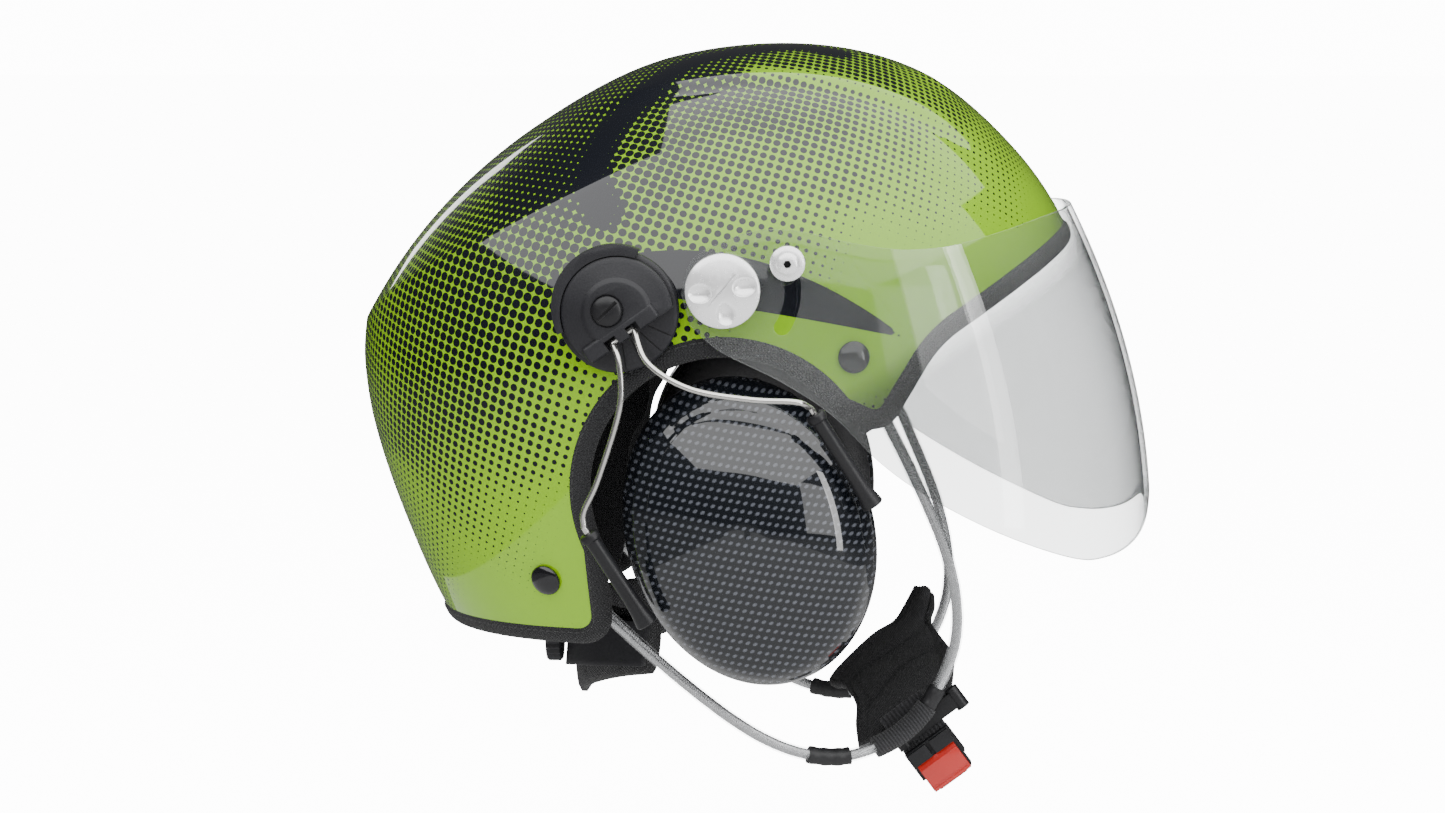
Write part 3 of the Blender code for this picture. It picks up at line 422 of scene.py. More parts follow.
def box_along(size, centre, forward, sideways):
    """A block of a size, its first edge along forward and its second along sideways."""
    forward, sideways = Vector(forward).normalized(), Vector(sideways).normalized()
    placing = Matrix((forward, sideways, forward.cross(sideways))).transposed().to_4x4()
    placing.translation = Vector(centre)
    block = bmesh.new()
    bmesh.ops.create_cube(block, size=1)
    bmesh.ops.scale(block, verts=block.verts, vec=size)
    block.transform(placing)
    return block


def make(name, bm, material, sharp=35):
    """Makes an object of a mesh given in millimetres."""
    bmesh.ops.recalc_face_normals(bm, faces=bm.faces)
    bmesh.ops.translate(bm, verts=bm.verts, vec=-HEAD_REST)
    bmesh.ops.scale(bm, verts=bm.verts, vec=(MM, MM, MM))
    mesh = bpy.data.meshes.new(name)
    bm.to_mesh(mesh)
    bm.free()
    if material:
        mesh.materials.append(material)
    mesh.shade_smooth()
    mesh.set_sharp_from_angle(angle=math.radians(sharp))
    piece = bpy.data.objects.new(name, mesh)
    bpy.context.scene.collection.objects.link(piece)
    return piece


def bake(piece):
    """Applies a piece's modifiers to its mesh."""
    bpy.context.view_layer.update()
    evaluated = piece.evaluated_get(bpy.context.evaluated_depsgraph_get())
    mesh = bpy.data.meshes.new_from_object(evaluated)
    piece.modifiers.clear()
    old, piece.data = piece.data, mesh
    bpy.data.meshes.remove(old)
    return piece


def cut(piece, *cutters, operation="DIFFERENCE", sharp=35):
    """Cuts or joins a piece with meshes in millimetres, or with objects, and applies the result."""
    made = [c if isinstance(c, bpy.types.Object) else make("cutter", c, None) for c in cutters]
    for cutter in made:
        modifier = piece.modifiers.new("cut", "BOOLEAN")
        modifier.operation = operation
        modifier.object = cutter
        modifier.material_mode = "TRANSFER" if cutter.data.materials else "INDEX"
    bake(piece)
    for cutter in made:
        bpy.data.objects.remove(cutter)
    piece.data.set_sharp_from_angle(angle=math.radians(sharp))
    return piece


def rounded(piece, width, segments=3, angle=30):
    """Rounds a piece's sharp edges."""
    modifier = piece.modifiers.new("round", "BEVEL")
    modifier.width = width * MM
    modifier.segments = segments
    modifier.limit_method = "ANGLE"
    modifier.angle_limit = math.radians(angle)
    bake(piece)
    piece.data.set_sharp_from_angle(angle=math.radians(40))
    return piece


def subdivided(piece):
    """Smooths a piece with one subdivision."""
    modifier = piece.modifiers.new("smooth", "SUBSURF")
    modifier.levels = 1
    modifier.render_levels = 1
    return bake(piece)


def belongs(piece, node):
    """Makes a piece move with a CAD node's body."""
    body = next(name for name, members in BODIES.items() if node in members)
    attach(piece, body)


def stands_for(piece, node):
    """The piece is shown in place of a CAD node."""
    belongs(piece, node)
    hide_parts(node)


# ---------------------------------------------------------------- materials

class Look:
    """A material and its node tree, with short ways to add nodes."""

    def __init__(self, name, **inputs):
        self.material = bpy.data.materials.new(name)
        self.material.use_nodes = True
        self.tree = self.material.node_tree
        self.shader = self.tree.nodes["Principled BSDF"]
        self.output = self.tree.nodes["Material Output"]
        self.shade(**inputs)

    def set(self, node, inputs):
        """Links or sets a node's inputs, given by name or by number."""
        for name, value in inputs.items():
            socket = node.inputs[name if isinstance(name, int) else name.replace("_", " ")]
            if isinstance(value, bpy.types.NodeSocket):
                self.tree.links.new(value, socket)
            elif isinstance(value, tuple) and socket.type == "RGBA":
                socket.default_value = (*value, 1)
            else:
                socket.default_value = value

    def shade(self, **inputs):
        """Sets inputs of the main shader, whose names have _ for each space."""
        self.set(self.shader, inputs)

    def node(self, kind, inputs=None, **settings):
        node = self.tree.nodes.new("ShaderNode" + kind)
        for name, value in settings.items():
            setattr(node, name, value)
        self.set(node, inputs or {})
        return node

    def math(self, operation, a, b=0.0):
        return self.node("Math", {0: a, 1: b}, operation=operation).outputs[0]

    def noise(self, scale, detail=3.0, where=None):
        inputs = {"Scale": scale, "Detail": detail}
        if where is not None:
            inputs["Vector"] = where
        return self.node("TexNoise", inputs).outputs[0]

    def place(self):
        return self.node("TexCoord").outputs["Object"]

    def attribute(self, name, output="Fac"):
        return self.node("Attribute", attribute_name=name).outputs[output]

    def mix(self, factor, a, b):
        """A colour between two colours, which are the node's inputs 6 and 7."""
        return self.node("Mix", {0: factor, 6: a, 7: b}, data_type="RGBA").outputs[2]

    def ramp(self, value, low, high, out_low=0.0, out_high=1.0):
        node = self.node("MapRange", {0: value, 1: low, 2: high, 3: out_low, 4: out_high})
        return node.outputs[0]

    def fresnel(self, ior):
        """Share of light mirrored, the same from both faces of a thin clear wall."""
        behind = self.node("NewGeometry").outputs["Backfacing"]
        return self.node("Fresnel", {"IOR": self.ramp(behind, 0.0, 1.0, ior, 1 / ior)}).outputs[0]

    def bump(self, height, distance, strength=1.0, normal=None):
        inputs = {"Height": height, "Distance": distance * MM, "Strength": strength}
        if normal is not None:
            inputs["Normal"] = normal
        return self.node("Bump", inputs).outputs[0]


def shell_look():
    """Lime paint under black halftone dots and a gloss coat."""
    look = Look("lime_shell", Roughness=0.4, Specular_IOR_Level=0.05, Coat_Weight=1.0, Coat_IOR=1.55)
    spun = look.node("VectorRotate", {"Vector": look.attribute("print_place", "Vector"),
                                      "Angle": DOT_TURN}, rotation_type="Z_AXIS").outputs[0]
    scaled = look.node("VectorMath", {0: spun, "Scale": 1 / DOT_PITCH}, operation="SCALE").outputs[0]
    cell = look.node("VectorMath", {0: scaled}, operation="FRACTION").outputs[0]
    offset = look.node("VectorMath", {0: cell, 1: (0.5, 0.5, 0)}, operation="SUBTRACT").outputs[0]
    away = look.node("VectorMath", {0: offset}, operation="LENGTH").outputs["Value"]
    dots = look.ramp(look.math("SUBTRACT", away, look.attribute("print_dot")), 0.015, -0.015)
    sweep = look.ramp(look.attribute("print_sweep"), -0.06, 0.06, 1.0, 0.0)
    black = look.math("MAXIMUM", dots, sweep)
    shade = look.noise(14.0, 2.0, look.place())
    lime = look.mix(shade, (0.165, 0.345, 0.0), (0.19, 0.39, 0.0))
    look.shade(Base_Color=look.mix(black, lime, (0.004, 0.005, 0.008)))
    scratches = look.noise(900.0, 5.0, look.place())
    look.shade(Coat_Roughness=look.ramp(scratches, 0.35, 0.75, 0.02, 0.07))
    peel = look.noise(160.0, 1.0, look.place())
    look.shade(Coat_Normal=look.bump(peel, 0.05, 0.12))
    return look.material


def plastic_look(name, colour, roughness, grain=0.12, scale=1800.0, coat=0.0):
    """Moulded plastic with a fine grain and faint patches."""
    look = Look(name, Coat_Weight=coat, Coat_Roughness=0.08, Specular_IOR_Level=0.32)
    where = look.place()
    fine = look.noise(scale, 2.0, where)
    wide = look.noise(40.0, 3.0, where)
    lighter = tuple(min(1.0, c * 1.5 + 0.004) for c in colour)
    look.shade(Base_Color=look.mix(wide, colour, lighter))
    look.shade(Roughness=look.ramp(wide, 0.3, 0.7, roughness * 0.85, roughness * 1.15))
    look.shade(Normal=look.bump(fine, grain, 0.6))
    return look.material


def weave(look, pitch, where):
    """Height of a plain weave of a pitch in millimetres, in any direction of the surface."""
    split = look.node("SeparateXYZ", {0: where})
    wave = 2 * math.pi / (pitch * MM)
    waves = [look.math("SINE", look.math("MULTIPLY", split.outputs[k], wave)) for k in range(3)]
    first = look.math("MULTIPLY", waves[0], waves[2])
    second = look.math("MULTIPLY", waves[1], waves[2])
    third = look.math("MULTIPLY", waves[0], waves[1])
    return look.math("ADD", look.math("ADD", first, second), third)


def fabric_look(name, colour, pitch=0.9, depth=0.25, sheen=0.35):
    """Woven cloth with lint and worn patches."""
    look = Look(name, Sheen_Weight=sheen, Sheen_Roughness=0.45)
    where = look.place()
    threads = weave(look, pitch, where)
    lint = look.noise(350.0, 6.0, where)
    worn = look.noise(30.0, 3.0, where)
    light = tuple(c * 2.2 + 0.006 for c in colour)
    shade = look.math("MULTIPLY", look.ramp(threads, -1.5, 1.5), look.ramp(worn, 0.2, 0.8, 0.4, 1.0))
    look.shade(Base_Color=look.mix(shade, colour, light))
    look.shade(Roughness=look.ramp(worn, 0.3, 0.7, 0.8, 0.94))
    rough = look.bump(lint, 0.2, 0.4)
    look.shade(Normal=look.bump(threads, depth, 0.7, rough))
    return look.material


def leather_look():
    """Soft synthetic leather with fine creases."""
    look = Look("black_leather", Coat_Weight=0.12, Coat_Roughness=0.35)
    where = look.place()
    cells = look.node("TexVoronoi", {"Vector": where, "Scale": 700.0}, feature="DISTANCE_TO_EDGE")
    creases = look.ramp(cells.outputs["Distance"], 0.0, 0.25)
    tone = look.noise(60.0, 4.0, where)
    look.shade(Base_Color=look.mix(tone, (0.012, 0.012, 0.013), (0.03, 0.03, 0.032)))
    look.shade(Roughness=look.ramp(tone, 0.3, 0.7, 0.42, 0.62))
    look.shade(Normal=look.bump(creases, 0.12, 0.7))
    return look.material


def metal_look(name, colour, roughness, scale=500.0, depth=0.02):
    """Bare steel with a fine grain."""
    look = Look(name, Metallic=0.93)
    fine = look.noise(scale, 4.0, look.place())
    wide = look.noise(45.0, 3.0, look.place())
    darker = tuple(c * 0.82 for c in colour)
    look.shade(Base_Color=look.mix(wide, darker, colour))
    look.shade(Roughness=look.ramp(fine, 0.3, 0.7, roughness * 0.75, roughness * 1.3))
    look.shade(Normal=look.bump(fine, depth, 0.5))
    return look.material


def turned_metal_look(name, centre, roughness=0.22):
    """Aluminium with concentric tool marks about an axis across the helmet."""
    look = Look(name, Metallic=0.6)
    offset = (HEAD_REST - Vector((centre[0], 0, centre[1]))) * MM
    flat = look.node("Mapping", {"Vector": look.place(), "Location": offset, "Scale": (1, 0, 1)})
    radius = look.node("VectorMath", {0: flat.outputs[0]}, operation="LENGTH").outputs["Value"]
    marks = look.math("SINE", look.math("MULTIPLY", radius, 2 * math.pi / (0.35 * MM)))
    rough = look.noise(900.0, 3.0, look.place())
    look.shade(Base_Color=look.mix(rough, (0.96, 0.96, 0.97), (1.0, 1.0, 1.0)))
    look.shade(Roughness=look.ramp(rough, 0.3, 0.7, roughness * 0.7, roughness * 1.3))
    look.shade(Normal=look.bump(marks, 0.01, 0.5))
    return look.material


def carbon_look():
    """Rows of small slanting dashes, each row a little behind the last, under a thick gloss coat."""
    look = Look("carbon", Roughness=0.4, Specular_IOR_Level=0.08, Coat_Weight=1.0, Coat_IOR=1.6)
    spin = look.node("VectorRotate", {"Vector": look.place(), "Angle": math.radians(-9)},
                     rotation_type="Y_AXIS")
    split = look.node("SeparateXYZ", {0: spin.outputs[0]})
    step, rise = 2.75, 3.05
    row = look.math("DIVIDE", split.outputs[2], rise * MM)
    shift = look.math("MULTIPLY", look.math("FLOOR", row), -0.22)
    column = look.math("ADD", look.math("DIVIDE", split.outputs[0], step * MM), shift)
    u = look.math("MULTIPLY", look.math("SUBTRACT", look.math("FRACT", column), 0.5), step)
    v = look.math("MULTIPLY", look.math("SUBTRACT", look.math("FRACT", row), 0.5), rise)
    slant, long, short = math.radians(38), 1.05, 0.68
    along = look.math("ADD", look.math("MULTIPLY", u, math.cos(slant) / long),
                      look.math("MULTIPLY", v, math.sin(slant) / long))
    across = look.math("SUBTRACT", look.math("MULTIPLY", v, math.cos(slant) / short),
                       look.math("MULTIPLY", u, math.sin(slant) / short))
    reach = look.math("ADD", look.math("MULTIPLY", along, along), look.math("MULTIPLY", across, across))
    dash = look.ramp(reach, 1.15, 0.25)
    thread = look.noise(1200.0, 2.0, look.place())
    lit = look.math("MULTIPLY", dash, look.ramp(thread, 0.3, 0.7, 0.75, 1.0))
    look.shade(Base_Color=look.mix(lit, (0.003, 0.004, 0.006), (0.07, 0.075, 0.09)))
    look.shade(Normal=look.bump(dash, 0.05, 0.3))
    return look.material


def visor_look(edge=False):
    """Clear polycarbonate: mostly see-through, with a mirror-like sheen and a faint haze."""
    look = Look("visor_edge" if edge else "clear_visor")
    tree = look.tree
    tree.nodes.remove(look.shader)
    split = look.node("SeparateXYZ", {0: look.place()})
    forward = look.math("MULTIPLY", split.outputs["X"], VISOR_SMOKE[0])
    ahead = look.math("ADD", forward, look.math("MULTIPLY", split.outputs["Z"], VISOR_SMOKE[1]))
    smoke = look.ramp(ahead, VISOR_SMOKE_START, VISOR_SMOKE_START + 14 * MM)
    tint = look.mix(smoke, (0.93, 0.935, 0.935), (0.595, 0.60, 0.60))
    clear = look.node("BsdfTransparent", {"Color": (0.70, 0.72, 0.72) if edge else tint})
    gloss = look.node("BsdfGlossy", {"Color": (1, 1, 1), "Roughness": 0.02})
    smear = look.noise(18.0, 4.0, look.place())
    haze = look.node("BsdfDiffuse", {"Color": (0.75, 0.77, 0.77)})
    amount = look.ramp(smear, 0.3, 0.7, 0.02, 0.035)
    cloudy = look.node("MixShader", {0: 0.45 if edge else amount, 1: clear.outputs[0],
                                     2: haze.outputs[0]})
    shine = look.node("MixShader", {0: look.fresnel(1.5), 1: cloudy.outputs[0], 2: gloss.outputs[0]})
    look.set(look.output, {"Surface": shine.outputs[0]})
    return look.material


def coating_look():
    """The clear sleeve over a steel cable."""
    look = Look("cable_coating")
    look.tree.nodes.remove(look.shader)
    clear = look.node("BsdfTransparent", {"Color": (0.95, 0.955, 0.96)})
    gloss = look.node("BsdfGlossy", {"Color": (1, 1, 1), "Roughness": 0.09})
    milk = look.node("BsdfDiffuse", {"Color": (0.8, 0.81, 0.82)})
    cloud = look.noise(300.0, 3.0, look.place())
    hazy = look.node("MixShader", {0: look.ramp(cloud, 0.3, 0.7, 0.04, 0.10), 1: clear.outputs[0],
                                   2: milk.outputs[0]})
    shine = look.node("MixShader", {0: look.fresnel(1.45), 1: hazy.outputs[0], 2: gloss.outputs[0]})
    look.set(look.output, {"Surface": shine.outputs[0]})
    return look.material


def foam_look():
    """Expanded foam, whose beads show."""
    look = Look("black_foam", Roughness=0.85)
    cells = look.node("TexVoronoi", {"Vector": look.place(), "Scale": 330.0})
    beads = look.math("POWER", cells.outputs["Distance"], 2.0)
    look.shade(Base_Color=look.mix(beads, (0.035, 0.035, 0.037), (0.008, 0.008, 0.008)))
    look.shade(Normal=look.bump(beads, -0.5, 0.8))
    return look.material


def webbing_look(name, direction, pitch):
    """Ribbed webbing whose ribs follow one another along a direction."""
    look = Look(name, Sheen_Weight=0.1, Sheen_Roughness=0.4, Roughness=0.8)
    where = look.place()
    along = look.node("VectorMath", {0: where, 1: tuple(direction)}, operation="DOT_PRODUCT")
    wave = look.math("MULTIPLY", along.outputs["Value"], 2 * math.pi / (pitch * MM))
    ribs = look.math("SINE", wave)
    threads = weave(look, 0.5, where)
    height = look.math("ADD", ribs, look.math("MULTIPLY", threads, 0.25))
    dark, light = (0.008, 0.008, 0.009), (0.028, 0.028, 0.0315)
    look.shade(Base_Color=look.mix(look.ramp(height, -1.3, 1.3), dark, light))
    look.shade(Normal=look.bump(height, 0.3, 0.8))
    return look.material


def red_look():
    """Bright red plastic."""
    look = Look("red_plastic", Coat_Weight=0.6, Coat_Roughness=0.1, Roughness=0.35)
    where = look.place()
    tone = look.noise(120.0, 3.0, where)
    look.shade(Base_Color=look.mix(tone, (0.36, 0.008, 0.005), (0.43, 0.014, 0.008)))
    look.shade(Normal=look.bump(look.noise(1500.0, 2.0, where), 0.05, 0.4))
    look.shade(Subsurface_Weight=0.05)
    return look.material


LIME = shell_look()
CARBON = carbon_look()
FOAM = foam_look()
FABRIC = fabric_look("black_fabric", (0.005, 0.005, 0.006), sheen=0.08)
PIPING = fabric_look("edge_binding", (0.005, 0.005, 0.006), 1.3, 0.35, 0.06)
THREAD = fabric_look("thread", (0.016, 0.016, 0.017), 0.35, 0.1, 0.1)
PADDING = fabric_look("pad_fabric", (0.006, 0.006, 0.007), 1.4, 0.3, 0.1)
LEATHER = leather_look()
BLACK = plastic_look("black_plastic", (0.006, 0.006, 0.007), 0.36, 0.05)
CAP = plastic_look("snap_cap", (0.003, 0.003, 0.004), 0.14, 0.01, 900.0, 0.6)
GREY = plastic_look("dark_plastic", (0.009, 0.009, 0.011), 0.42, 0.12, 1500.0)
SHRINK = plastic_look("heat_shrink", (0.012, 0.012, 0.013), 0.42, 0.1, 400.0)
RED = red_look()
STEEL = metal_look("steel", (0.74, 0.73, 0.70), 0.16, 300.0, 0.003)
STRAND = metal_look("cable_steel", (0.66, 0.66, 0.67), 0.26, 1500.0)
COATING = coating_look()
VISOR, VISOR_EDGE = visor_look(), visor_look(edge=True)


# ---------------------------------------------------------------- shell

def print_place(x, y, z):
    """Where the print lies: the surface rolled out flat about the shell's side."""
    dx, dz = x - SHELL_CENTRE[0], z - SHELL_CENTRE[1]
    reach = profile_radius(np.arctan2(dz, dx))
    out = np.minimum(np.abs(y) / SHELL_HALF_WIDTH, 1)
    rolled = reach * np.arcsin((1 - out**ROUNDNESS) ** (1 / ROUNDNESS))
    rolled /= np.maximum(np.hypot(dx, dz), 0.001)
    return dx * rolled, dz * rolled


def seen_place(x, z):
    """Where the print lies at a place seen from the side."""
    return print_place(x, shell_out(x, z), z)


def print_tone(u, v):
    """Blends the tone points, nearer points counting more."""
    spots = np.array(TONES)
    su, sv = seen_place(spots[:, 0], spots[:, 1])
    distance = (u[:, None] - su) ** 2 + (v[:, None] - sv) ** 2
    weight = np.exp(-distance / (2 * TONE_SPREAD**2)) + 1e-4 / (1 + distance)
    tone = (weight * spots[:, 2]).sum(1) / weight.sum(1)
    band = 1.1 * np.exp(-(path_distance(u, v, BLACK_BAND) / BAND_SPREAD) ** 4)
    # Dots are cleared along the front crest, which paints a highlight there
    painted_highlight = np.exp(-(path_distance(u, v, CREST_HIGHLIGHT_STREAK) / CREST_HIGHLIGHT_SPREAD) ** 2)
    return np.maximum(tone, band) * (1 - painted_highlight)


def dot_radius(tone):
    """Radius of a dot, in steps of the dots' grid, that prints a share of the paint black."""
    return 0.564 * np.sqrt(np.clip(tone, 0, 1.2)) + 0.45 * np.maximum(0, tone - 0.8)


def path_distance(u, v, path):
    """Distance on the rolled-out print from a path that is seen from the side."""
    line = np.array([seen_place(p.x, p.y) for p in smooth_outline(path, 8)])
    return np.hypot(u[:, None] - line[:, 0], v[:, None] - line[:, 1]).min(1)


def sweep_distance(x, z):
    """Distance past the edge of the stripe, which sweeps forward and down along the side."""
    along = np.clip((x + SWEEP_REACH) / (2 * SWEEP_REACH), 0, 1)
    middle = 2 + 26 * along - 46 * along**2
    half = SWEEP_HALF * np.sin(math.pi * along) ** 0.8
    return np.where(np.abs(x) > SWEEP_REACH, 5, np.abs(z - middle) - half)


def paint_shell(piece):
    """Stores where the print lies, how big its dots are and where the stripe runs."""
    mesh = piece.data
    count = len(mesh.vertices)
    places = np.empty(count * 3)
    mesh.vertices.foreach_get("co", places)
    x, y, z = (places.reshape(-1, 3) / MM + np.array(HEAD_REST)).T
    u, v = print_place(x, y, z)
    flat = mesh.attributes.new("print_place", "FLOAT_VECTOR", "POINT")
    flat.data.foreach_set("vector", np.stack([u, v, np.zeros(count)], axis=1).ravel())
    for name, values in (("print_dot", dot_radius(print_tone(u, v))),
                         ("print_sweep", sweep_distance(x, z))):
        mesh.attributes.new(name, "FLOAT", "POINT").data.foreach_set("value", values)


def build_shell():
    """The printed shell, hollow, with a fabric-lined inside and openings for face and ears."""
    shell = make("helmet_shell", skin(shell_points(0, SHELL_GRID, True)), LIME)
    inside = make("inside", skin(shell_points(SHELL_WALL, (120, 60), False)), FABRIC)
    cut(shell, inside, make("opening", prism(closed_below(opening_outline(0.3)), -200, 200), FABRIC),
        sharp=50)
    paint_shell(shell)
    stands_for(shell, "outer_shell")


def build_trim():
    """Sewn fabric binding that wraps the shell's rim, with a line of stitches on its outside."""
    path = rim_path(700)
    normals = [shell_normal(p) for p in path]
    band = tube(path, BINDING_HEIGHT, 24, closed=True, squash=BINDING_SPREAD, normals=normals)
    stands_for(make("rim_binding", band, PIPING, 80), "edge_trim")
    stitches = bmesh.new()
    spaced = rim_path(330)
    for i, place in enumerate(spaced):
        normal = shell_normal(place)
        along = (spaced[(i + 1) % len(spaced)] - spaced[i - 1]).normalized()
        inward = normal.cross(along)
        middle = place + normal * (BINDING_HEIGHT - 0.35) + inward * stitch_side(place, inward) * 1.9
        dash = [middle - along * 1.15 - normal * 0.35, middle - along * 0.6 + normal * 0.05,
                middle + along * 0.6 + normal * 0.05, middle + along * 1.15 - normal * 0.35]
        add_mesh(stitches, tube(dash, 0.3, 6))
    belongs(make("rim_stitches", stitches, THREAD, 60), "edge_trim")


def stitch_side(place, inward):
    """Which way leads from the rim to the shell's middle: 1 along inward, or -1."""
    centre = Vector((-30, 0, 30))
    return 1 if inward.dot(centre - place) > 0 else -1


def add_mesh(target, extra):
    """Adds one mesh to another and frees it."""
    mesh = bpy.data.meshes.new("extra")
    extra.to_mesh(mesh)
    extra.free()
    target.from_mesh(mesh)
    bpy.data.meshes.remove(mesh)


def foot_on_shell(point, normal):
    """Where a line through a point, along a normal, meets the shell's smooth surface."""
    x, z = point.x, point.z
    for _ in range(8):
        foot = Vector((x, math.copysign(float(shell_out(x, z)), point.y), z))
        shift = (point - foot) - normal * (point - foot).dot(normal)
        x, z = x + shift.x, z + shift.z
    return foot


def build_rivet(end, name):
    """A domed snap cap with a rolled lower edge. A rear cap stands on the ridge."""
    low, high = cad_box(f"{end}_rivet_{name}")
    middle = (low + high) / 2
    normal = shell_normal(middle)
    foot = foot_on_shell(middle, normal)
    if end == "rear":
        foot += normal * float(ridge_height(foot.x, foot.z))
    dome = [(0, 0.2), (5.2, 0.2), (5.9, 0.5), (6.05, 0.95), (5.8, 1.4), (5.2, 1.95), (4.2, 2.5),
            (2.8, 2.95), (1.4, 3.15), (0, 3.2)]
    cap = turned(dome, sides=48)
    turn = Vector((0, 1, 0)).rotation_difference(normal).to_matrix().to_4x4()
    cap.transform(Matrix.Translation(foot) @ turn)
    stands_for(make(f"snap_cap_{end}_{name}", cap, CAP, 60), f"{end}_rivet_{name}")


# ---------------------------------------------------------------- visor

def visor_reach(z):
    """How far forward the visor stands at a height."""
    return VISOR_REACH + VISOR_LEAN * z + VISOR_CURVE * z * z


def guide_place():
    """Where the guide screw stands, seen from the side."""
    return SLOT_RADIUS * math.cos(GUIDE_ANGLE), SLOT_RADIUS * math.sin(GUIDE_ANGLE)


def visor_half():
    """Distance of the visor's outer face from the middle plane at the pivot."""
    return float(shell_out(0, 0)) + VISOR_GAP + VISOR_WALL


def visor_section(z, inset, columns):
    """Half plan of the visor at a height, from the right side round the front to the left."""
    reach, half = visor_reach(z) - inset, visor_half() - inset
    points = [Vector((-30, -half, z)), Vector((-10, -half, z))]
    for column in range(columns + 1):
        turn = math.pi * (column / columns - 0.5)
        x = reach * max(math.cos(turn), 0) ** (2 / VISOR_ROUNDNESS)
        y = half * abs(math.sin(turn)) ** (2 / VISOR_ROUNDNESS) * math.copysign(1, math.sin(turn))
        points.append(Vector((x, y, z)))
    return points + [Vector((-10, half, z)), Vector((-30, half, z))]


def slot_outline():
    """Outline of the curved slot, which is as long as the visor's travel."""
    start, end = math.degrees(GUIDE_ANGLE - VISOR_TRAVEL), math.degrees(GUIDE_ANGLE)
    half = SLOT_WIDTH / 2
    low = (SLOT_RADIUS * math.cos(math.radians(start)), SLOT_RADIUS * math.sin(math.radians(start)))
    outside = arc((0, 0), SLOT_RADIUS + half, start, end, 40)
    inside = arc((0, 0), SLOT_RADIUS - half, end, start, 40)
    return (outside + arc(guide_place(), half, end, end + 180, 16)[1:-1] + inside
            + arc(low, half, start + 180, start + 360, 16)[1:-1])


def build_visor():
    """A thin wall bent round the face, trimmed to its outline, with knob holes and slots."""
    rings = []
    for z in np.linspace(-125, 46, 60):
        rings.append(visor_section(z, 0, 160) + visor_section(z, VISOR_WALL, 160)[::-1])
    visor = make("clear_visor", skin(rings), VISOR)
    outline = (smooth_outline(VISOR_TOP_EDGE, 12) + [Vector((190, 34)), Vector((190, -72))]
               + smooth_outline(VISOR_BOTTOM_EDGE, 12))
    cut(visor, make("outline", prism(outline, -160, 160), VISOR_EDGE), operation="INTERSECT")
    bore = make("bore", turned([(4.5, -150), (4.5, 150)]), VISOR_EDGE)
    slot = make("slot", prism(slot_outline(), -150, 150), VISOR_EDGE)
    cut(visor, bore, slot, sharp=30)
    stands_for(visor, "visor")


def build_knob(name, side):
    """The visor's clamping knob: a turned disc with three finger dimples and a coin slot."""
    inner, outer = cad_reach(f"visor_knob_{name}")
    profile = [(0, inner), (12.6, inner), (13.5, inner + 0.5), (13.8, inner + 1.2),
               (13.8, outer - 2.4), (13.6, outer - 2.0), (13.1, outer - 1.7), (11, outer - 1.2),
               (8, outer - 0.65), (5, outer - 0.25), (2.5, outer - 0.05), (0, outer)]
    look = turned_metal_look(f"turned_aluminium_{name}", (0, 0))
    knob = make(f"knob_{name}", turned(profile, side=side, sides=96), look)
    dimples = []
    for degrees in (186, 12, 279):
        ball = bmesh.new()
        bmesh.ops.create_uvsphere(ball, u_segments=48, v_segments=32, radius=1)
        bmesh.ops.scale(ball, verts=ball.verts, vec=(5.2, 3.6, 4.2))
        turn = math.radians(degrees)
        bmesh.ops.rotate(ball, verts=ball.verts, matrix=Matrix.Rotation(-turn, 3, "Y"))
        place = Vector((8.7 * math.cos(turn), side * (outer + 0.8), 8.7 * math.sin(turn)))
        bmesh.ops.translate(ball, verts=ball.verts, vec=place)
        dimples.append(ball)
    groove = box_along((14, 3.6, 0.8), (0.2, side * (outer + 0.6), 1.0), (0.63, 0, 0.78), (0, 1, 0))
    cut(knob, *dimples, groove)
    stands_for(rounded(knob, 0.16, 2, 25), f"visor_knob_{name}")


def build_guides(name, side):
    """The guide's raised washer and its small screw with a hexagonal socket."""
    inner, outer = cad_reach(f"guide_washer_{name}")
    x, z = guide_place()
    ring = [(2.7, inner), (6.2, inner), (6.5, inner + 0.3), (6.5, outer - 0.9), (6.15, outer - 0.55),
            (4.6, outer), (2.7, outer)]
    look = turned_metal_look(f"guide_aluminium_{name}", (x, z), 0.3)
    stands_for(make(f"washer_{name}", turned_ring(ring, (x, z), side), look), f"guide_washer_{name}")
    foot, head = cad_reach(f"guide_screw_{name}")
    post = [(0, foot), (2.4, foot), (2.4, head - 2.3), (4.2, head - 2.3), (4.25, head - 1.2),
            (3.8, head - 0.6), (2.9, head - 0.2), (1.8, head), (0, head)]
    screw = make(f"screw_{name}", turned(post, (x, z), side), look)
    socket = turned([(1.5, head - 1.8), (1.5, head + 1)], (x, z), side, 6)
    cut(screw, make("socket", socket, BLACK))
    stands_for(screw, f"guide_screw_{name}")


def build_visor_fittings():
    """The visor with both sides' knobs, guides, bushes and bolts."""
    build_visor()
    for name, side in SIDES.items():
        build_knob(name, side)
        build_guides(name, side)
        for node, look in ((f"pivot_bush_{name}", BLACK), (f"pivot_bolt_{name}", STEEL)):
            refinish(node, look)


def refinish(node, look):
    """Gives a CAD node that is shown as it is a new material."""
    piece = frame["nodes"][node]
    piece.data.materials.clear()
    piece.data.materials.append(look)


# ---------------------------------------------------------------- ear muffs

